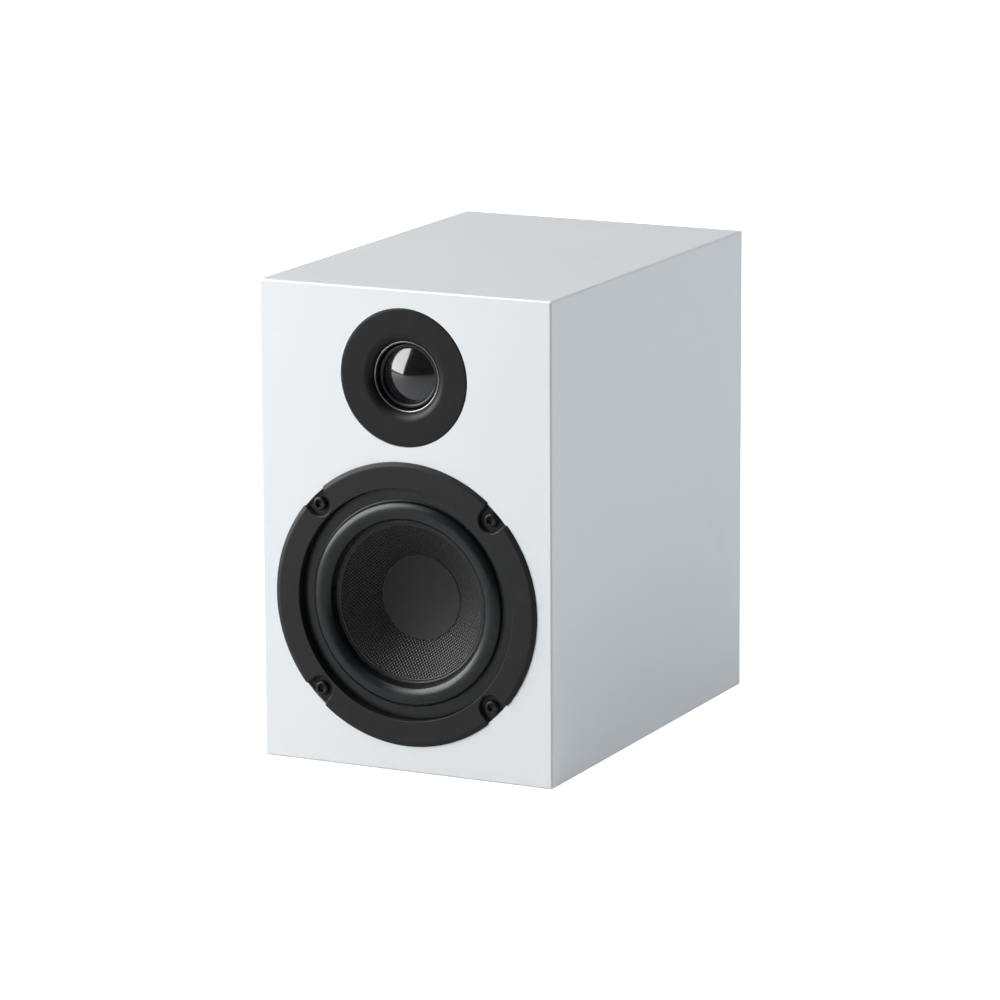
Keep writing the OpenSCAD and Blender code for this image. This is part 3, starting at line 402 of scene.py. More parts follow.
# flat block on the rear ring's lower side, which the terminal strip stands on
flat = {"halfW": 12, "halfH": 2.8, "rearZ": -35.6, "frontZ": -26.8, "edge": 0.4, "drop": 39.2}
w, h, z0, z1, e = flat["halfW"], flat["halfH"], flat["rearZ"], flat["frontZ"], flat["edge"]
flatBlock = rectLoft([(0, 0, 0, z0), (w - e, h - e, 0.3, z0), (w, h, 0.5, z0 + e), (w, h, 0.5, z1 - e),
                      (w - e, h - e, 0.3, z1), (0, 0, 0, z1)], 4) - [0, flat["drop"], 0]
basketShells = [wooferShell(basketFront()), wooferShell(rearRing), wooferShell(flatBlock, False)]
basketShells += [wooferShell(basketRib(60 * k), False) for k in range(6)]
makePiece("WooferBasket", basketShells, "cabinet", castBlack, ["woofer_basket"], sharpAngle=40)


# ---- screws

def screwGrid(look, turns=96):
    # outline from the recess's floor up its wall, round the head and along the shank to the tip:
    # the recess's radius = base + swell * |cos(n a / 2)|^power
    a = np.linspace(0, fullTurn, turns, endpoint=False)
    lobe = look["recess"] + look["swell"] * np.abs(np.cos(look["lobes"] * a / 2)) ** look["power"]
    top, head, shank = look["height"], look["head"], look["shank"]
    floor, tip = top - look["deep"], -look["length"]
    rows = [(0, floor - 0.4), (lobe - 0.5, floor - 0.25), (lobe - 0.06, floor), (lobe, top - 0.16),
            (lobe + 0.04, top - 0.05), (lobe + 0.14, top), (head - 1.1, top), (head - 0.75, 0.98 * top),
            (head - 0.35, 0.86 * top), (head - 0.08, 0.6 * top), (head, 0.35 * top), (head, look["under"]),
            (shank, look["neck"]), (shank, look["neck"] - 0.3), (shank, tip + 0.6), (shank - 0.5, tip), (0, tip)]
    return np.array([np.stack([r * np.cos(a), r * np.sin(a), np.full(turns, z)], -1) for r, z in rows])


frameScrew = {"head": 3.35, "height": 2.2, "under": 0.05, "recess": 1.55, "swell": 0.42, "lobes": 6, "power": 1.2,
              "deep": 1.5, "shank": 1.9, "neck": 0.0, "length": 12.4}
seated = screwGrid(frameScrew) + [0, 0, -1.2]
screws = [wooferShell(turnedTo(seated, angle, woofer["screwCircle"]), False) for angle in woofer["screwAngles"]]
makePiece("WooferScrews", screws, "cabinet", screwBlack, ["woofer_screws"])


# ---- woofer surround, cone, dust cap, centring disc

def surroundOutline():
    # top: flange, half roll with r = mid + half cos t and z = drift + rise (sin t)^0.9, an upright
    # wall, glued lip in two steps; then the underside
    roll = {"inR": 39.5, "outR": 48.75, "rise": 3.5, "thick": 0.8, "flangeZ": -2.8, "footZ": -3.0,
            "wallTop": -3.75, "wallLow": -4.6}
    mid, half = (roll["inR"] + roll["outR"]) / 2, (roll["outR"] - roll["inR"]) / 2
    t = np.linspace(0, math.pi, 40)
    drift = roll["flangeZ"] + (roll["footZ"] - roll["flangeZ"]) * (1 - np.cos(t)) / 2
    top = np.stack([mid + half * np.cos(t), drift + roll["rise"] * np.sin(t) ** 0.9], -1)
    under = np.stack([mid + (half - roll["thick"]) * np.cos(t),
                      drift - roll["thick"] + (roll["rise"] - 0.1) * np.sin(t)], -1)[::-1]
    flange = rounded([(55.0, -3.58, 0), (55.0, roll["flangeZ"], 0.3), (49.35, roll["flangeZ"], 0.35),
                      (49.1, -2.95, 0.1)])[:-3]
    lip = rounded([(39.35, -4.62, 0), (38.3, -4.45, 0.5), (37.75, -4.5, 0.3), (37.6, -4.95, 0.15), (36.55, -5.0, 0.25),
                   (36.3, -5.38, 0)])
    wall = np.linspace(roll["wallTop"], roll["wallLow"], 9)
    front = np.stack([np.full(9, roll["inR"]), wall], -1)
    back = np.stack([np.full(9, roll["inR"] + roll["thick"]), wall], -1)[::-1]
    return np.concatenate([flange, top, front, lip, [[37.5, -5.39], [39.3, -5.39]], back, under,
                           [[49.4, -3.59], [49.6, -3.59]]])


surround = makePiece("WooferSurround", [wooferShell(lathe(surroundOutline(), 200))], None, rollRubber,
                     ["woofer_surround"], sharpAngle=50)
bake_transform(surround)

cone = {"rimR": 36.3, "rimZ": -5.4, "neckR": 12.95, "neckZ": -22.0, "wall": 0.55, "slant": 1.25, "bow": 0.35,
        "lipR": 39.2, "collarR": 13.5}


def coneZ(r):
    # straight wall from neck to rim, bowed forward a little in the middle
    t = (r - cone["neckR"]) / (cone["rimR"] - cone["neckR"])
    return cone["neckZ"] + (cone["rimZ"] - cone["neckZ"]) * t + cone["bow"] * np.sin(math.pi * np.clip(t, 0, 1))


wallR = np.linspace(cone["rimR"], cone["neckR"], 40)
coneFront = np.stack([wallR, coneZ(wallR)], -1)
coneBack = np.stack([wallR[::-1], coneZ(wallR[::-1]) - cone["wall"] * cone["slant"]], -1)[2:]
collar = [[cone["neckR"], -24], [cone["collarR"], -24], [cone["collarR"], -22.9]]
coneOutline = np.concatenate([[[cone["lipR"], -5.42]], coneFront, collar, coneBack, [[cone["lipR"], -5.98]]])
makePiece("WooferCone", [wooferShell(lathe(coneOutline, 200))], "woofer_moving_parts", coneWeave,
          ["woofer_cone"], sharpAngle=40)

cap = {"r": 20.0, "dish": 2.0, "thick": 0.6}
capEdge = float(coneZ(cap["r"])) + 0.12
capR = np.linspace(0, cap["r"] - 0.25, 28)
capTop = np.stack([capR, capEdge + 0.42 - cap["dish"] * (1 - (capR / cap["r"]) ** 2)], -1)
capRound = np.array([[cap["r"] - 0.1, capEdge + 0.40], [cap["r"], capEdge + 0.28], [cap["r"], capEdge + 0.05]])
capUnder = np.stack([capR[::-1] * 0.97, capTop[::-1, 1] - cap["thick"]], -1)
capOutline = np.concatenate([capTop, capRound, capUnder])
makePiece("WooferDustCap", [wooferShell(lathe(capOutline, 180), False)],
          "woofer_moving_parts", capMatt, ["woofer_dust_cap"], sharpAngle=50)

# glue bead in the corner between cap and cone, its size wandering round the ring
beadTurn = np.linspace(0, fullTurn, 300, endpoint=False)
beadSize = 0.26 + 0.05 * np.sin(13 * beadTurn) + 0.04 * np.sin(31 * beadTurn + 1) + 0.03 * np.sin(57 * beadTurn + 2)
beadRound = np.linspace(0, fullTurn, 10, endpoint=False)[:, None]
beadR = cap["r"] + 0.12 + beadSize * np.cos(beadRound)
beadZ = capEdge + 0.08 + beadSize * np.sin(beadRound)
bead = np.stack([beadR * np.cos(beadTurn), beadR * np.sin(beadTurn), beadZ + 0 * beadR], -1)
makePiece("DustCapGlue", [wooferShell(bead)], "woofer_moving_parts", glueGloss)

# centring disc: half a thickness either side of z = middle + wave sin(2 pi n t) between former and
# ledge, with a collar down the former
spider = {"inR": 13.9, "outR": 33.5, "z": -25.0, "wave": 1.0, "waves": 4, "half": 0.25, "rimR": 37.2,
          "formerR": 12.98, "collarR": 13.5, "collarLow": -28.6}
t = np.linspace(0, 1, 81)
ripple = spider["z"] + spider["wave"] * np.sin(fullTurn * spider["waves"] * t)
spiderR = spider["inR"] + (spider["outR"] - spider["inR"]) * t
collarZ = np.linspace(spider["collarLow"], spider["z"] - 0.3, 12)
spiderTop = spider["z"] + spider["half"]
spiderOutline = np.concatenate([
    np.stack([np.full(12, spider["formerR"]), collarZ], -1), [[spider["formerR"], spiderTop]],
    np.stack([spiderR, ripple + spider["half"]], -1),
    [[spider["rimR"], spiderTop], [spider["rimR"], spider["z"] - 0.23]],
    np.stack([spiderR, ripple - spider["half"]], -1)[::-1],
    np.stack([np.full(12, spider["collarR"]), collarZ[::-1]], -1)])
spiderCloth = plainFinish("SpiderCloth", (0.42, 0.27, 0.06), (0.58, 0.40, 0.12), (0.75, 0.9),
                          skin=(0.0007, 0.00012), blotch=0.01)
spiderPiece = makePiece("WooferSpider", [wooferShell(lathe(spiderOutline, 120))], None, spiderCloth,
                        ["woofer_spider"], sharpAngle=60)
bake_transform(spiderPiece)


# ---- tweeter

def faceplateOutline():
    plate = {"r": 32.3, "thick": 3.0, "flareR": 21.0, "throatR": 15.5, "depth": 3.4, "bead": 1.4, "edge": 0.8}
    t = np.linspace(0, math.pi / 2, 9)
    soft = plate["edge"]
    edge = np.stack([plate["r"] - soft + soft * np.cos(t), -soft + soft * np.sin(t)], -1)
    t = np.linspace(math.pi / 2, math.pi, 26)
    wide = plate["flareR"] - plate["throatR"] - plate["bead"]
    flare = np.stack([plate["flareR"] + wide * np.cos(t), -plate["depth"] + plate["depth"] * np.sin(t)], -1)
    t = np.linspace(0, math.pi, 10)
    bead = np.stack([plate["throatR"] + 0.9 + 0.5 * np.cos(t), -plate["depth"] + 0.3 * np.sin(t)], -1)
    back = [[plate["throatR"], -6.6], [18.0, -6.6], [18.0, -4.75], [22.0, -plate["thick"]],
            [plate["r"] - 0.1, -plate["thick"]], [plate["r"], 0.1 - plate["thick"]]]
    face = np.stack([np.linspace(31.0, 21.6, 6), np.zeros(6)], -1)
    return np.concatenate([edge, face, flare, bead, back])


# three locating pins stand on the faceplate's back
pinOutline = np.array([[0, -5.2], [1.0, -5.2], [1.2, -5.0], [1.2, -2.9], [0, -2.9]])
plateShells = [tweeterShell(lathe(faceplateOutline(), 200))]
plateShells += [tweeterShell(turnedTo(lathe(pinOutline, 24), angle, 28.0), False) for angle in (30, 150, 270)]
makePiece("TweeterFaceplate", plateShells, "cabinet", plateBlack, ["tweeter_faceplate"],
          sharpAngle=50)

wireRing = {"r": 16.4, "z": -3.3, "wireR": 0.52}
t = np.linspace(0, fullTurn, 20, endpoint=False)
ringOutline = np.stack([wireRing["r"] + wireRing["wireR"] * np.cos(t),
                        wireRing["z"] + wireRing["wireR"] * np.sin(t)], -1)[::-1]
makePiece("TweeterThroatRing", [tweeterShell(lathe(ringOutline, 200))], "cabinet", ringSheen,
          sharpAngle=180)

dome = {"r": 13.0, "rise": 4.3, "foot": -6.1, "skirt": -7.3, "thick": 0.3, "skirtWall": 0.32, "round": 2.4}


def domeLine(radius, rise, count):
    # slope grows with q = r / radius as s (1 - (1 - q)^n), so the height above the foot is
    # rise - s (q - (1 - (1 - q)^(n + 1)) / (n + 1)), with s so that it ends at 0
    q, n = np.linspace(0, 1, count), dome["round"]
    steep = rise / (1 - 1 / (n + 1))
    return np.stack([radius * q, dome["foot"] + rise - steep * (q - (1 - (1 - q) ** (n + 1)) / (n + 1))], -1)


innerR = dome["r"] - dome["skirtWall"]
domeOutline = np.concatenate([domeLine(dome["r"], dome["rise"], 40),
                              [[dome["r"], dome["skirt"]], [innerR, dome["skirt"]]],
                              domeLine(innerR, dome["rise"] - dome["thick"], 24)[::-1]])
makePiece("TweeterDome", [tweeterShell(lathe(domeOutline, 140), False)],
          "tweeter_moving_parts", domeGloss, ["tweeter_dome"], sharpAngle=60)

# half roll, an upright wall, and a flange clamped under the faceplate
t = np.linspace(math.pi, 0, 16)
rollR, rollHalf, rollZ, clampZ = 14.25, 1.13, -6.2, -7.2
wallZ = (-6.25, -6.38, -6.5, -6.62, -6.75)
tweeterRoll = np.concatenate([
    np.stack([rollR + rollHalf * np.cos(t), rollZ + 0.25 + rollHalf * 0.9 * np.sin(t)], -1),
    [[15.41, z] for z in wallZ],
    [[15.42, clampZ + 0.4], [15.6, clampZ + 0.24], [19.9, clampZ + 0.24], [19.9, clampZ + 0.02],
     [15.35, clampZ + 0.02]],
    [[15.19, z] for z in wallZ[::-1]],
    np.stack([rollR + (rollHalf - 0.22) * np.cos(t), rollZ + (rollHalf * 0.9 - 0.12) * np.sin(t)], -1)[::-1],
    [[13.12, rollZ + 0.01]]])
tweeterSurround = makePiece("TweeterSurround", [tweeterShell(lathe(tweeterRoll, 140))], None, rollRubber,
                            ["tweeter_surround"], sharpAngle=50)
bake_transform(tweeterSurround)
print("drivers made")


# ---- terminal cup, its screws, the knobs

cupBlack = plainFinish("CupBlack", (0.010, 0.010, 0.011), (0.016, 0.016, 0.017), (0.38, 0.50),
                       skin=(0.0004, 0.000025), blotch=0.008)
knobRed, knobBlack = (
    plainFinish(name, dark, light, (0.22, 0.34), skin=(0.0006, 0.000006), blotch=0.004,
                **{"Coat Weight": 0.3, "Coat Roughness": 0.1})
    for name, dark, light in (("KnobRed", (0.36, 0.012, 0.012), (0.44, 0.018, 0.016)),
                              ("KnobBlack", (0.010, 0.010, 0.011), (0.016, 0.016, 0.017))))

cup = {"halfW": 38.0, "halfH": 24.0, "floorZ": -28.0, "wall": 2.5, "flangeW": 50.0, "flangeH": 35.0,
       "flangeZ": -2.5, "height": middle("terminal_cup")[2]}


def cupGrid():
    # from the middle of the recess's floor up its drafted walls, round the flange and down the outside
    # each (grow, corner radius, z) adds grow to the recess's or the flange's half sizes
    z0, back, wall = cup["floorZ"], cup["flangeZ"], cup["wall"]
    recess = [(-4, 2.0, z0), (-1.6, 3.4, z0 + 0.02), (-1.0, 3.7, z0 + 0.4), (-0.8, 3.8, z0 + 1.2), (-0.05, 4.0, -0.9),
              (0.12, 4.1, -0.35), (0.6, 4.4, -0.02), (1.0, 4.6, 0.0), (1.2, 4.8, 0.0)]
    flange = [(-1.0, 7.2, 0.0), (-0.5, 7.6, -0.06), (-0.1, 7.9, -0.5), (0, 8.0, -1.0), (0, 8.0, back),
              (-0.4, 7.7, back)]
    outside = [(3.2, 5.2, back), (wall, 5.0, back - 0.6), (wall, 5.0, z0 - 2.0), (2.0, 4.6, z0 - wall)]
    inner, outer = (cup["halfW"], cup["halfH"]), (cup["flangeW"], cup["flangeH"])
    rows = [(size[0] + grow, size[1] + grow, corner, z)
            for size, part in ((inner, recess), (outer, flange), (inner, outside)) for grow, corner, z in part]
    return rectLoft([(0, 0, 0, z0)] + rows + [(0, 0, 0, z0 - wall)])


def bar(halfW, halfH, x, y, z, rise):
    # small raised bar with softened edges
    grid = rectLoft([(0, 0, 0, z - 0.3), (halfW, halfH, 0.1, z - 0.3), (halfW, halfH, 0.12, z + rise - 0.12),
                     (halfW - 0.12, halfH - 0.12, 0.08, z + rise), (0, 0, 0, z + rise)], 3)
    return grid + [x, y, 0]


# plus and minus marks moulded on the floor above the posts
polarity = {"y": 15.5, "long": 2.4, "short": 0.45, "rise": 0.5}
long, short, postX = polarity["long"], polarity["short"], terminals["postShift"]
cupGrids = [cupGrid()] + [bar(halfW, halfH, x, polarity["y"], cup["floorZ"], polarity["rise"])
                          for halfW, halfH, x in ((long, short, postX), (short, long, postX), (long, short, -postX))]
cupShells = [shell(onBack(grid, cup["height"]), False) for grid in cupGrids]
makePiece("TerminalCup", cupShells, "cabinet", cupBlack, ["terminal_cup"], sharpAngle=40)

cupScrew = {"head": 2.9, "height": 0.35, "under": -0.1, "recess": 0.45, "swell": 1.15, "lobes": 4, "power": 9,
            "deep": 1.3, "shank": 1.35, "neck": -1.5, "length": 11.9}
cupScrews = [shell(onBack(screwGrid(cupScrew, 72) + [x, y, 0], cup["height"]), False)
             for x in (-44, 44) for y in (-29.5, 29.5)]
makePiece("CupScrews", cupScrews, "cabinet", screwBlack, ["cup_screws"])


def knobGrid(turns=192):
    # closed outline turned round the post; between the flutes' ends the radius is
    # outer - depth * (0.5 - 0.5 cos(n a))^2
    knob = {"outer": 6.5, "lowZ": -23.5, "topZ": -3.0, "bore": 3.05, "mouth": 2.5, "stepZ": -4.6, "depth": 0.75,
            "flutes": 16}
    a = np.linspace(0, fullTurn, turns, endpoint=False)
    dip = knob["depth"] * (0.5 - 0.5 * np.cos(knob["flutes"] * a)) ** 2
    low, top, outer = knob["lowZ"], knob["topZ"], knob["outer"]
    bore, mouth, step = knob["bore"], knob["mouth"], knob["stepZ"]
    rows = [(bore, low, 0), (outer - 0.35, low, 0), (outer - 0.08, low + 0.08, 0), (outer, low + 0.35, 0),
            (outer, low + 1.9, 0), (outer - 0.03, low + 2.3, 0.12), (outer - 0.02, low + 2.9, 0.8),
            (outer, low + 3.5, 1), (outer, top - 1.9, 1), (outer - 0.12, top - 1.2, 1), (outer - 0.45, top - 0.6, 0.8),
            (outer - 1.0, top - 0.12, 0.35), (outer - 1.5, top, 0.1), (mouth + 0.35, top, 0),
            (mouth + 0.08, top - 0.08, 0), (mouth, top - 0.35, 0), (mouth, step, 0), (bore, step, 0)]
    return np.stack([np.stack([(r - share * dip) * np.cos(a), (r - share * dip) * np.sin(a), np.full(turns, z)], -1)
                     for r, z, share in rows])


for tint, side, finish, slotName in (("Red", 1, knobRed, "terminal_red"), ("Black", -1, knobBlack, "terminal_black")):
    grid = onBack(knobGrid(), terminals["height"], shift=-side * terminals["postShift"])
    makePiece(tint + "Knob", [shell(grid)], tint.lower() + "_knob", finish,
              [tint.lower() + "_post_knob"], sharpAngle=38)
print("terminals made")


# ---- soft and inner pieces

def tinselPath(side, count=60):
    # smooth curve through the lead's points (Catmull-Rom), evenly sampled in its parameter
    knots = np.array([[side * 8, -41.45, -24.05], [side * 8, -39.5, -21.25], [side * 7, -30, -19.25],
                      [side * 6, -23.5, -19.75], [side * 5, -18.5, -18.75]])
    padded = np.concatenate([knots[:1], knots, knots[-1:]])
    t = np.linspace(0, len(knots) - 1 - 1e-9, count)
    k, f = t.astype(int), (t % 1)[:, None]
    p0, p1, p2, p3 = (padded[k + n] for n in range(4))
    return 0.5 * (2 * p1 + (p2 - p0) * f + (2 * p0 - 5 * p1 + 4 * p2 - p3) * f ** 2
                  + (3 * p1 - p0 - 3 * p2 + p3) * f ** 3)


def braid(path, radius, strands=6, twist=3.2, around=36):
    # ring round each point, with radius (0.88 + 0.16 |cos(n (a - twist s) / 2)|) for the distance s
    # along the path
    along = np.gradient(path, axis=0)
    along /= np.linalg.norm(along, axis=1)[:, None]
    sideways = np.cross(along, [1.0, 0.1, 0.0])
    sideways /= np.linalg.norm(sideways, axis=1)[:, None]
    upward = np.cross(along, sideways)
    distance = np.concatenate([[0], np.cumsum(np.linalg.norm(np.diff(path, axis=0), axis=1))])[:, None]
    a = np.linspace(0, fullTurn, around, endpoint=False)[None, :]
    r = (radius * (0.88 + 0.16 * np.abs(np.cos(strands * (a - twist * distance) / 2))))[..., None]
    a = a[..., None]
    rings = path[:, None] + r * np.cos(a) * sideways[:, None] + r * np.sin(a) * upward[:, None]
    first, last = (np.broadcast_to(path[k][None, None], (1, around, 3)) for k in (0, -1))
    return np.concatenate([first, rings, last])


tinselFinish = plainFinish("TinselLead", (0.45, 0.36, 0.26), (0.68, 0.60, 0.50), (0.3, 0.5),
                           skin=(0.0002, 0.00003), blotch=0.002, **{"Metallic": 0.9})
leadShells = [wooferShell(braid(tinselPath(side), 0.5), False) for side in (1, -1)]
leads = makePiece("TinselLeads", leadShells, None, tinselFinish, ["woofer_tinsel_leads"], sharpAngle=70)
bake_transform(leads)


def waddingGrid():
    # U-shaped strip: centre line down one side, over the top and down the other; round each point a
    # squared loop y = middle + half |cos|^0.3, depth = t/2 (1 + |sin|^0.5), puffed by three waves
    pad = {"halfW": 62.8, "top": 215.8, "low": 22.5, "turnR": 13.0, "y0": -45.5, "y1": 93.5, "thick": 9.0}
    w, top, r = pad["halfW"], pad["top"], pad["turnR"]
    a = np.linspace(0, math.pi / 2, 16)
    left = np.stack([np.full(50, -w), np.linspace(pad["low"], top - r, 50)], -1)
    cornerL = np.stack([-w + r - r * np.cos(a), top - r + r * np.sin(a)], -1)[1:]
    over = np.stack([np.linspace(-w + r, w - r, 36), np.full(36, top)], -1)[1:-1]
    cornerR = np.stack([w - r + r * np.sin(a), top - r + r * np.cos(a)], -1)
    right = np.stack([np.full(49, w), np.linspace(top - r, pad["low"], 50)[1:]], -1)
    path = np.concatenate([left, cornerL, over, cornerR, right])
    step = np.gradient(path, axis=0)
    step /= np.linalg.norm(step, axis=1)[:, None]
    inward = np.stack([step[:, 1], -step[:, 0]], -1)
    around = 96
    b = np.linspace(0, fullTurn, around, endpoint=False)
    c, s = np.cos(b), np.sin(b)
    y = (pad["y0"] + pad["y1"]) / 2 + (pad["y1"] - pad["y0"]) / 2 * np.sign(c) * np.abs(c) ** 0.3
    depth = 0.5 * (1 + np.sign(s) * np.abs(s) ** 0.5)
    u = np.linspace(0, 1, len(path))
    ends = np.sqrt(np.clip(1 - np.maximum(0, np.abs(2 * u - 1) - 0.965) ** 2 / 0.035 ** 2, 0, 1))[:, None]
    puff = (0.86 + 0.06 * np.sin(37 * u[:, None] + 0.05 * y) + 0.05 * np.sin(0.11 * y + 21 * u[:, None])
            + 0.03 * np.sin(0.31 * y - 90 * u[:, None]))
    out = pad["thick"] * (0.5 + (depth - 0.5) * ends) * np.where(depth > 0.5, puff, 1)
    x = path[:, :1] + inward[:, :1] * out
    z = path[:, 1:] + inward[:, 1:] * out
    grid = np.stack([x, np.broadcast_to(y, x.shape), z], -1)
    caps = [np.broadcast_to(grid[k].mean(0), (1, around, 3)) for k in (0, -1)]
    return np.concatenate([caps[0], grid, caps[1]]) * mm


waddingFinish = plainFinish("Wadding", (0.52, 0.52, 0.53), (0.74, 0.74, 0.74), (0.9, 1.0),
                            skin=(0.0011, 0.0006), blotch=0.012, stretch=(1, 2.4, 1), **{"Sheen Weight": 0.3})
wadding = makePiece("DampingWadding", [shell(waddingGrid(), False)], "cabinet", waddingFinish,
                    ["damping_wadding"], sharpAngle=80)


def chokeShells(low, high, coreR):
    # bobbin: closed outline with two cheeks; winding: closed outline whose outside is one half
    # round for each turn, r = outer - sunk + wire |sin(pi n t)|
    centre = (low + high) / 2 / mm
    outer, top, base = (high[0] - low[0]) / 2 / mm, high[2] / mm, low[2] / mm
    cheek, wire, gap, sunk = 1.8, 0.55, 0.02, 2.2
    span = top - base - 2 * cheek
    bobbin = rounded([(coreR - 2, base, 0.2), (outer, base, 0.4), (outer, base + cheek, 0.4),
                      (coreR, base + cheek, 0.1), (coreR, top - cheek, 0.1), (outer, top - cheek, 0.4),
                      (outer, top, 0.4), (coreR - 2, top, 0.2)])
    turns = int(span / (2 * wire))
    t = np.linspace(0, 1, turns * 8 + 1)
    wound = np.stack([outer - sunk + wire * np.abs(np.sin(math.pi * turns * t)),
                      base + cheek + gap + (span - 2 * gap) * t], -1)
    wound = np.concatenate([wound, [[coreR + gap, top - cheek - gap], [coreR + gap, base + cheek + gap]]])
    return [shell((lathe(line, 96) + [centre[0], centre[1], 0]) * mm) for line in (bobbin, wound)]


def windingFinish(name, pitch, axis):
    # enamelled wire: height |cos(pi s / pitch)| along the winding's axis; the copper is painted darker in the grooves
    # between turns (painted shade), varied by a random noise
    material, tree, place = startMaterial(name, {"Metallic": 0.85, "Coat Weight": 0.6, "Coat Roughness": 0.15})
    along = addNode(tree, "ShaderNodeSeparateXYZ", {0: place}).outputs[axis]
    turns = calc(tree, "ABSOLUTE", calc(tree, "COSINE", calc(tree, "MULTIPLY", along, math.pi / pitch)))
    # painted shade: dark copper where the turns dip into the grooves, times a random tone
    shade = calc(tree, "MULTIPLY", turns, noiseOf(tree, place, 0.003, 2.0))
    copper = mixColour(tree, spread(tree, shade, 0, 1, 0.05, 0.6), (0.32, 0.10, 0.035), (0.72, 0.30, 0.13))
    return dress(material, copper, spread(tree, shade, 0.42, 0.24, 0.05, 0.6), bumpOf(tree, turns, pitch * 0.3))


chokeCopper = windingFinish("ChokeCopper", 0.0011, "Z")
coilCopper = windingFinish("CoilCopper", 0.00035, "Y")
bobbinBlack = plainFinish("BobbinBlack", (0.012, 0.012, 0.012), (0.022, 0.022, 0.022), (0.4, 0.55),
                          skin=(0.0005, 0.00002))
for name, node, coreR in (("WooferChoke", "woofer_inductor", 8.0), ("TweeterChoke", "tweeter_inductor", 5.0)):
    bobbin, wound = chokeShells(*(np.array(corner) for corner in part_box(node)), coreR)
    makePiece(name + "Winding", [wound], "cabinet", chokeCopper, [node], sharpAngle=60)
    makePiece(name + "Bobbin", [bobbin], "cabinet", bobbinBlack, sharpAngle=40)


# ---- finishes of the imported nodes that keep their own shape

def boardFinish():
    # solder mask over copper tracks: a brick pattern stretched along the board stands a little proud
    material, tree, place = startMaterial("BoardGreen", {"Coat Weight": 0.4, "Coat Roughness": 0.2})
    bricks = {"Vector": place, "Scale": 1.0, "Mortar Size": 0.0006, "Mortar Smooth": 0.1, "Brick Width": 0.021,
              "Row Height": 0.0034, "Color1": (0.2, 0.2, 0.2, 1), "Color2": (1, 1, 1, 1), "Mortar": (0, 0, 0, 1)}
    tracks = addNode(tree, "ShaderNodeTexBrick", bricks)
    shown = calc(tree, "GREATER_THAN", tracks.outputs["Color"], 0.62)
    grain = noiseOf(tree, place, 0.0008)
    mask = mixColour(tree, shown, (0.004, 0.050, 0.016), (0.012, 0.115, 0.040))
    rough = spread(tree, grain, 0.3, 0.42)
    return dress(material, mask, rough, bumpOf(tree, shown, 0.00004, bumpOf(tree, grain, 0.000008)))


def sleeveFinish():
    # shrunk plastic sleeve with one pale stripe along the can
    material, tree, place = startMaterial("SleeveBlue", {})
    low, high = (np.array(corner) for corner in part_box("bipolar_capacitor"))
    height = addNode(tree, "ShaderNodeSeparateXYZ", {0: place}).outputs["Z"]
    stripe = calc(tree, "COMPARE", height, float(high[2] - 0.0022), 0.0012)
    wrinkle = noiseOf(tree, place, 0.002, 2.0, 0.5, (4, 1, 1))
    colour = mixColour(tree, stripe, (0.012, 0.020, 0.075), (0.45, 0.46, 0.48))
    return dress(material, colour, spread(tree, wrinkle, 0.22, 0.38), bumpOf(tree, wrinkle, 0.00004))


def metal(name, dark, light, rough, skin=(0.0005, 0.000006), stretch=(1, 1, 1)):
    return plainFinish(name, dark, light, rough, skin, 0.006, stretch, **{"Metallic": 1.0})


foam = plainFinish("FoamSeal", (0.020, 0.020, 0.021), (0.045, 0.045, 0.046), (0.85, 0.95),
                   skin=(0.0007, 0.0002))
zinc = metal("ZincSteel", (0.42, 0.42, 0.43), (0.62, 0.62, 0.64), (0.28, 0.42), (0.0012, 0.00001))
brass = metal("Brass", (0.62, 0.42, 0.16), (0.80, 0.58, 0.25), (0.22, 0.36), (0.0008, 0.000008), (1, 4, 1))
gold = metal("GoldPlate", (0.74, 0.52, 0.20), (0.90, 0.68, 0.31), (0.14, 0.24), (0.0006, 0.000004), (4, 1, 4))
nickel = metal("NickelPlate", (0.62, 0.60, 0.57), (0.76, 0.74, 0.71), (0.16, 0.28))
tinned = metal("TinnedConnector", (0.52, 0.53, 0.55), (0.74, 0.75, 0.77), (0.26, 0.4), (0.0004, 0.000008))
ferrite = plainFinish("Ferrite", (0.025, 0.025, 0.027), (0.052, 0.052, 0.055), (0.45, 0.65),
                      skin=(0.0007, 0.00004), blotch=0.009)
laminate = plainFinish("Laminate", (0.10, 0.045, 0.018), (0.17, 0.085, 0.038), (0.45, 0.6),
                       skin=(0.0005, 0.00002), stretch=(5, 1, 5))
film = plainFinish("FormerFilm", (0.30, 0.12, 0.025), (0.40, 0.18, 0.05), (0.16, 0.28), skin=(0.0009, 0.000006))
felt = plainFinish("Felt", (0.16, 0.16, 0.165), (0.30, 0.30, 0.31), (0.92, 1.0), skin=(0.0005, 0.0002),
                   **{"Sheen Weight": 0.4})
portBlack = plainFinish("PortBlack", (0.009, 0.009, 0.010), (0.014, 0.014, 0.015), (0.36, 0.5),
                        skin=(0.0004, 0.00002), blotch=0.01)
nylon = plainFinish("Nylon", (0.66, 0.64, 0.58), (0.76, 0.74, 0.69), (0.4, 0.55), skin=(0.0006, 0.00001))
yellowFilm = plainFinish("YellowFilm", (0.62, 0.34, 0.03), (0.74, 0.44, 0.06), (0.22, 0.36),
                         skin=(0.0014, 0.00003), stretch=(6, 1, 1))
wireRed, wireBlack = (plainFinish(name, dark, light, (0.34, 0.48), skin=(0.0007, 0.00001))
                      for name, dark, light in (("WireRed", (0.34, 0.012, 0.010), (0.44, 0.02, 0.016)),
                                                ("WireBlack", (0.010, 0.010, 0.010), (0.018, 0.018, 0.018))))

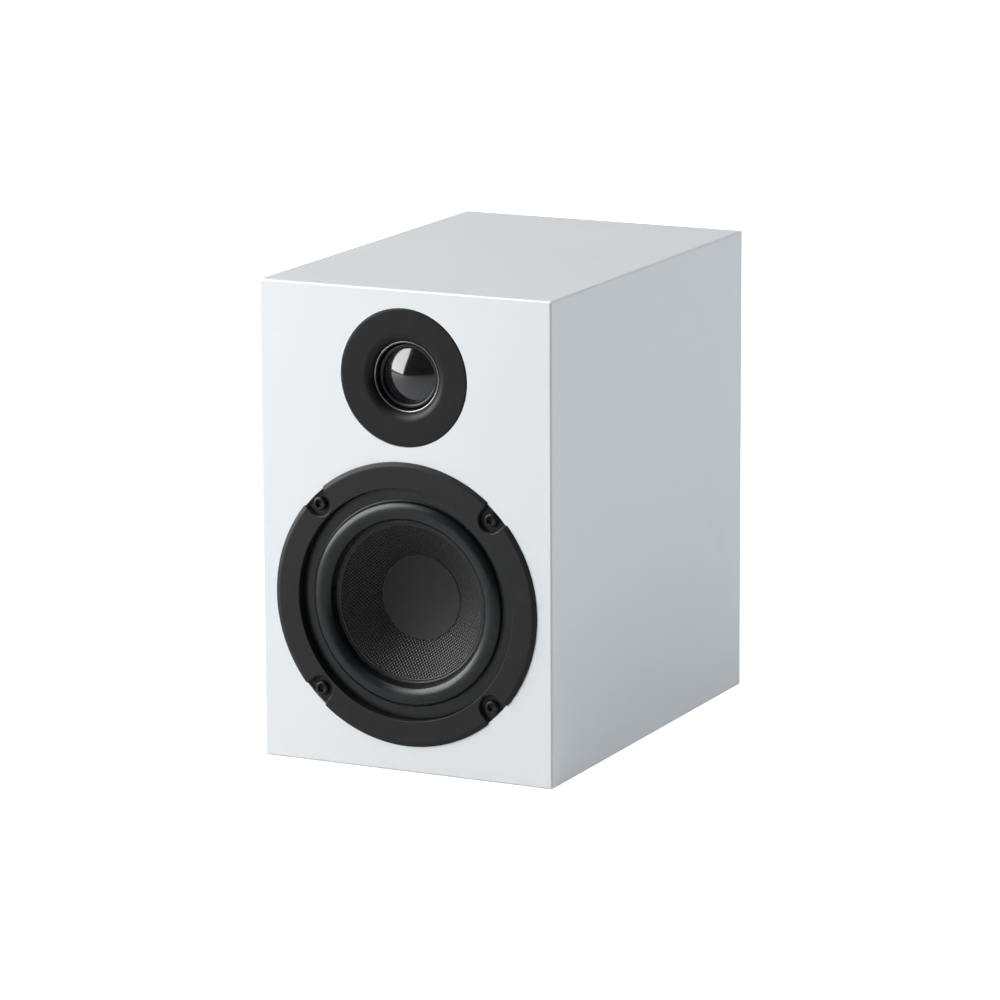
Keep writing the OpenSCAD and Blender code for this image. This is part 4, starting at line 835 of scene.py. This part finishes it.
nodeFinishes = {
    lacquer: ["front_baffle", "back_panel", "top_panel", "bottom_panel", "left_panel", "right_panel"],
    foam: ["woofer_seal", "tweeter_seal", "cup_seal"],
    screwBlack: ["tweeter_screws"],
    brass: ["woofer_inserts", "woofer_terminal_tabs", "tweeter_terminal_tabs", "solder_tags"],
    gold: ["red_post_stud", "black_post_stud", "red_clamp_washer", "black_clamp_washer"],
    zinc: ["woofer_top_plate", "woofer_yoke", "tweeter_top_plate", "tweeter_yoke", "post_nuts", "crossover_screws"],
    nickel: ["tweeter_magnet"],
    tinned: ["tab_connectors"],
    ferrite: ["woofer_magnet"],
    laminate: ["woofer_terminal_strip", "tweeter_terminal_board"],
    film: ["woofer_coil_former"],
    coilCopper: ["woofer_voice_coil", "tweeter_voice_coil"],
    plateBlack: ["tweeter_chassis"],
    felt: ["tweeter_felt_pad"],
    portBlack: ["port_tube"],
    knobRed: ["red_post_collar"],
    knobBlack: ["black_post_collar"],
    boardFinish(): ["crossover_board"],
    nylon: ["crossover_spacers"],
    yellowFilm: ["film_capacitor"],
    sleeveFinish(): ["bipolar_capacitor"],
    wireRed: ["red_wires"],
    wireBlack: ["black_wires"],
}


def paintNode(name, finish):
    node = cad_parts[name]
    if not node.material_slots:
        node.data.materials.append(finish)
    for slot in node.material_slots:
        slot.material = finish


for finish, names in nodeFinishes.items():
    for name in names:
        paintNode(name, finish)
print("packed nodes painted")


# ---- floor, light and camera

studio = {"halfWidth": 12.0, "near": -8.0, "wall": 4.0, "sweep": 1.5, "wallTop": 6.0, "gap": 0.0003,
          "worldStrength": 0.05, "glow": 1.1, "aimHeight": 0.11}


def makeFloor():
    # level floor that sweeps up into a back wall: a quarter circle between the two
    wall, sweep, steps = studio["wall"], studio["sweep"], 20
    turn = np.linspace(0.1, math.pi / 2, 14)
    x = np.linspace(-studio["halfWidth"], studio["halfWidth"], steps)
    y = np.concatenate([np.linspace(studio["near"], wall, steps), wall + sweep * np.sin(turn), [wall + sweep]])
    z = np.concatenate([np.zeros(steps), sweep * (1 - np.cos(turn)), [studio["wallTop"]]])
    z = z + cadBox[0][2] - studio["gap"]
    grid = np.stack([np.broadcast_to(v, (len(y), steps)) for v in (x, y[:, None], z[:, None])], -1)
    points, quads = shell(grid, False, False)
    mesh = bpy.data.meshes.new("StudioFloor")
    mesh.from_pydata(points.tolist(), [], quads.tolist())
    mesh.shade_smooth()
    floor = bpy.data.objects.new("StudioFloor", mesh)
    bpy.context.scene.collection.objects.link(floor)
    material, tree, place = startMaterial("FloorPaper", {"Specular IOR Level": 0.1, "Emission Color": (1, 1, 1, 1)})
    shader = tree.nodes["Principled BSDF"]
    seen = addNode(tree, "ShaderNodeLightPath").outputs["Is Camera Ray"]
    plug(tree, shader.inputs["Emission Strength"], calc(tree, "MULTIPLY", seen, studio["glow"]))
    paper = mixColour(tree, noiseOf(tree, place, 0.4), (0.48, 0.485, 0.49), (0.51, 0.515, 0.52))
    plug(tree, shader.inputs["Base Color"], paper)
    plug(tree, shader.inputs["Roughness"], spread(tree, noiseOf(tree, place, 0.002), 0.85, 0.95))
    mesh.materials.append(material)


makeFloor()


def setAxes(thing, right, up, back, place):
    columns = np.column_stack([right, up, back, place])
    thing.matrix_world = Matrix(np.vstack([columns, [0, 0, 0, 1]]).tolist())


def aimAt(thing, place, target):
    # turns a lamp at a place so that its back axis points away from the target
    back = np.array(place, float) - np.array(target, float)
    back /= np.linalg.norm(back)
    right = np.cross([0, 0, 1], back)
    right /= np.linalg.norm(right)
    up = np.cross(back, right)
    setAxes(thing, right, up, back, place)


lights = {
    "LeftSoftbox": {"place": (-1.72, -0.76, 0.98), "size": (2.6, 1.8), "power": 98},
    "RightFill": {"place": (1.9, 0.8, 1.05), "size": (1.2, 1.2), "power": 28, "colour": (0.93, 0.965, 1.0)},
    "TopPanel": {"place": (-0.9, -0.4, 1.95), "size": (1.4, 1.4), "power": 15},
}
for name, look in lights.items():
    data = bpy.data.lights.new(name, "AREA")
    data.shape = "RECTANGLE"
    data.size, data.size_y = look["size"]
    data.energy = look["power"]
    data.color = look.get("colour", (1, 1, 1))
    lamp = bpy.data.objects.new(name, data)
    bpy.context.scene.collection.objects.link(lamp)
    aimAt(lamp, look["place"], (0, 0, studio["aimHeight"]))

world = bpy.data.worlds.new("Studio")
world.use_nodes = True
world.node_tree.nodes["Background"].inputs["Color"].default_value = (1, 1, 1, 1)
world.node_tree.nodes["Background"].inputs["Strength"].default_value = studio["worldStrength"]
bpy.context.scene.world = world
bpy.context.scene.view_settings.view_transform = "Standard"

view = {"azimuth": 25.956, "elevation": 12.241, "roll": -0.281, "distance": 2.5073, "right": -0.003735,
        "up": -0.005602, "lens": 188.04, "sensor": 36.0, "far": 100}


def makeCamera():
    # looks at half the cabinet's height from the azimuth and elevation, rolled about its own axis
    az, el, roll = (math.radians(view[k]) for k in ("azimuth", "elevation", "roll"))
    back = np.array([math.sin(az) * math.cos(el), -math.cos(az) * math.cos(el), math.sin(el)])
    level = np.array([math.cos(az), math.sin(az), 0.0])
    over = np.cross(back, level)
    right = level * math.cos(roll) + over * math.sin(roll)
    up = over * math.cos(roll) - level * math.sin(roll)
    target = np.array([0, 0, (cadBox[0][2] + cadBox[1][2]) / 2])
    place = target + back * view["distance"] + right * view["right"] + up * view["up"]
    data = bpy.data.cameras.new("Camera")
    data.lens, data.sensor_width = view["lens"], view["sensor"]
    data.clip_end = view["far"]
    camera = bpy.data.objects.new("Camera", data)
    bpy.context.scene.collection.objects.link(camera)
    setAxes(camera, right, up, back, place)
    bpy.context.scene.camera = camera


makeCamera()
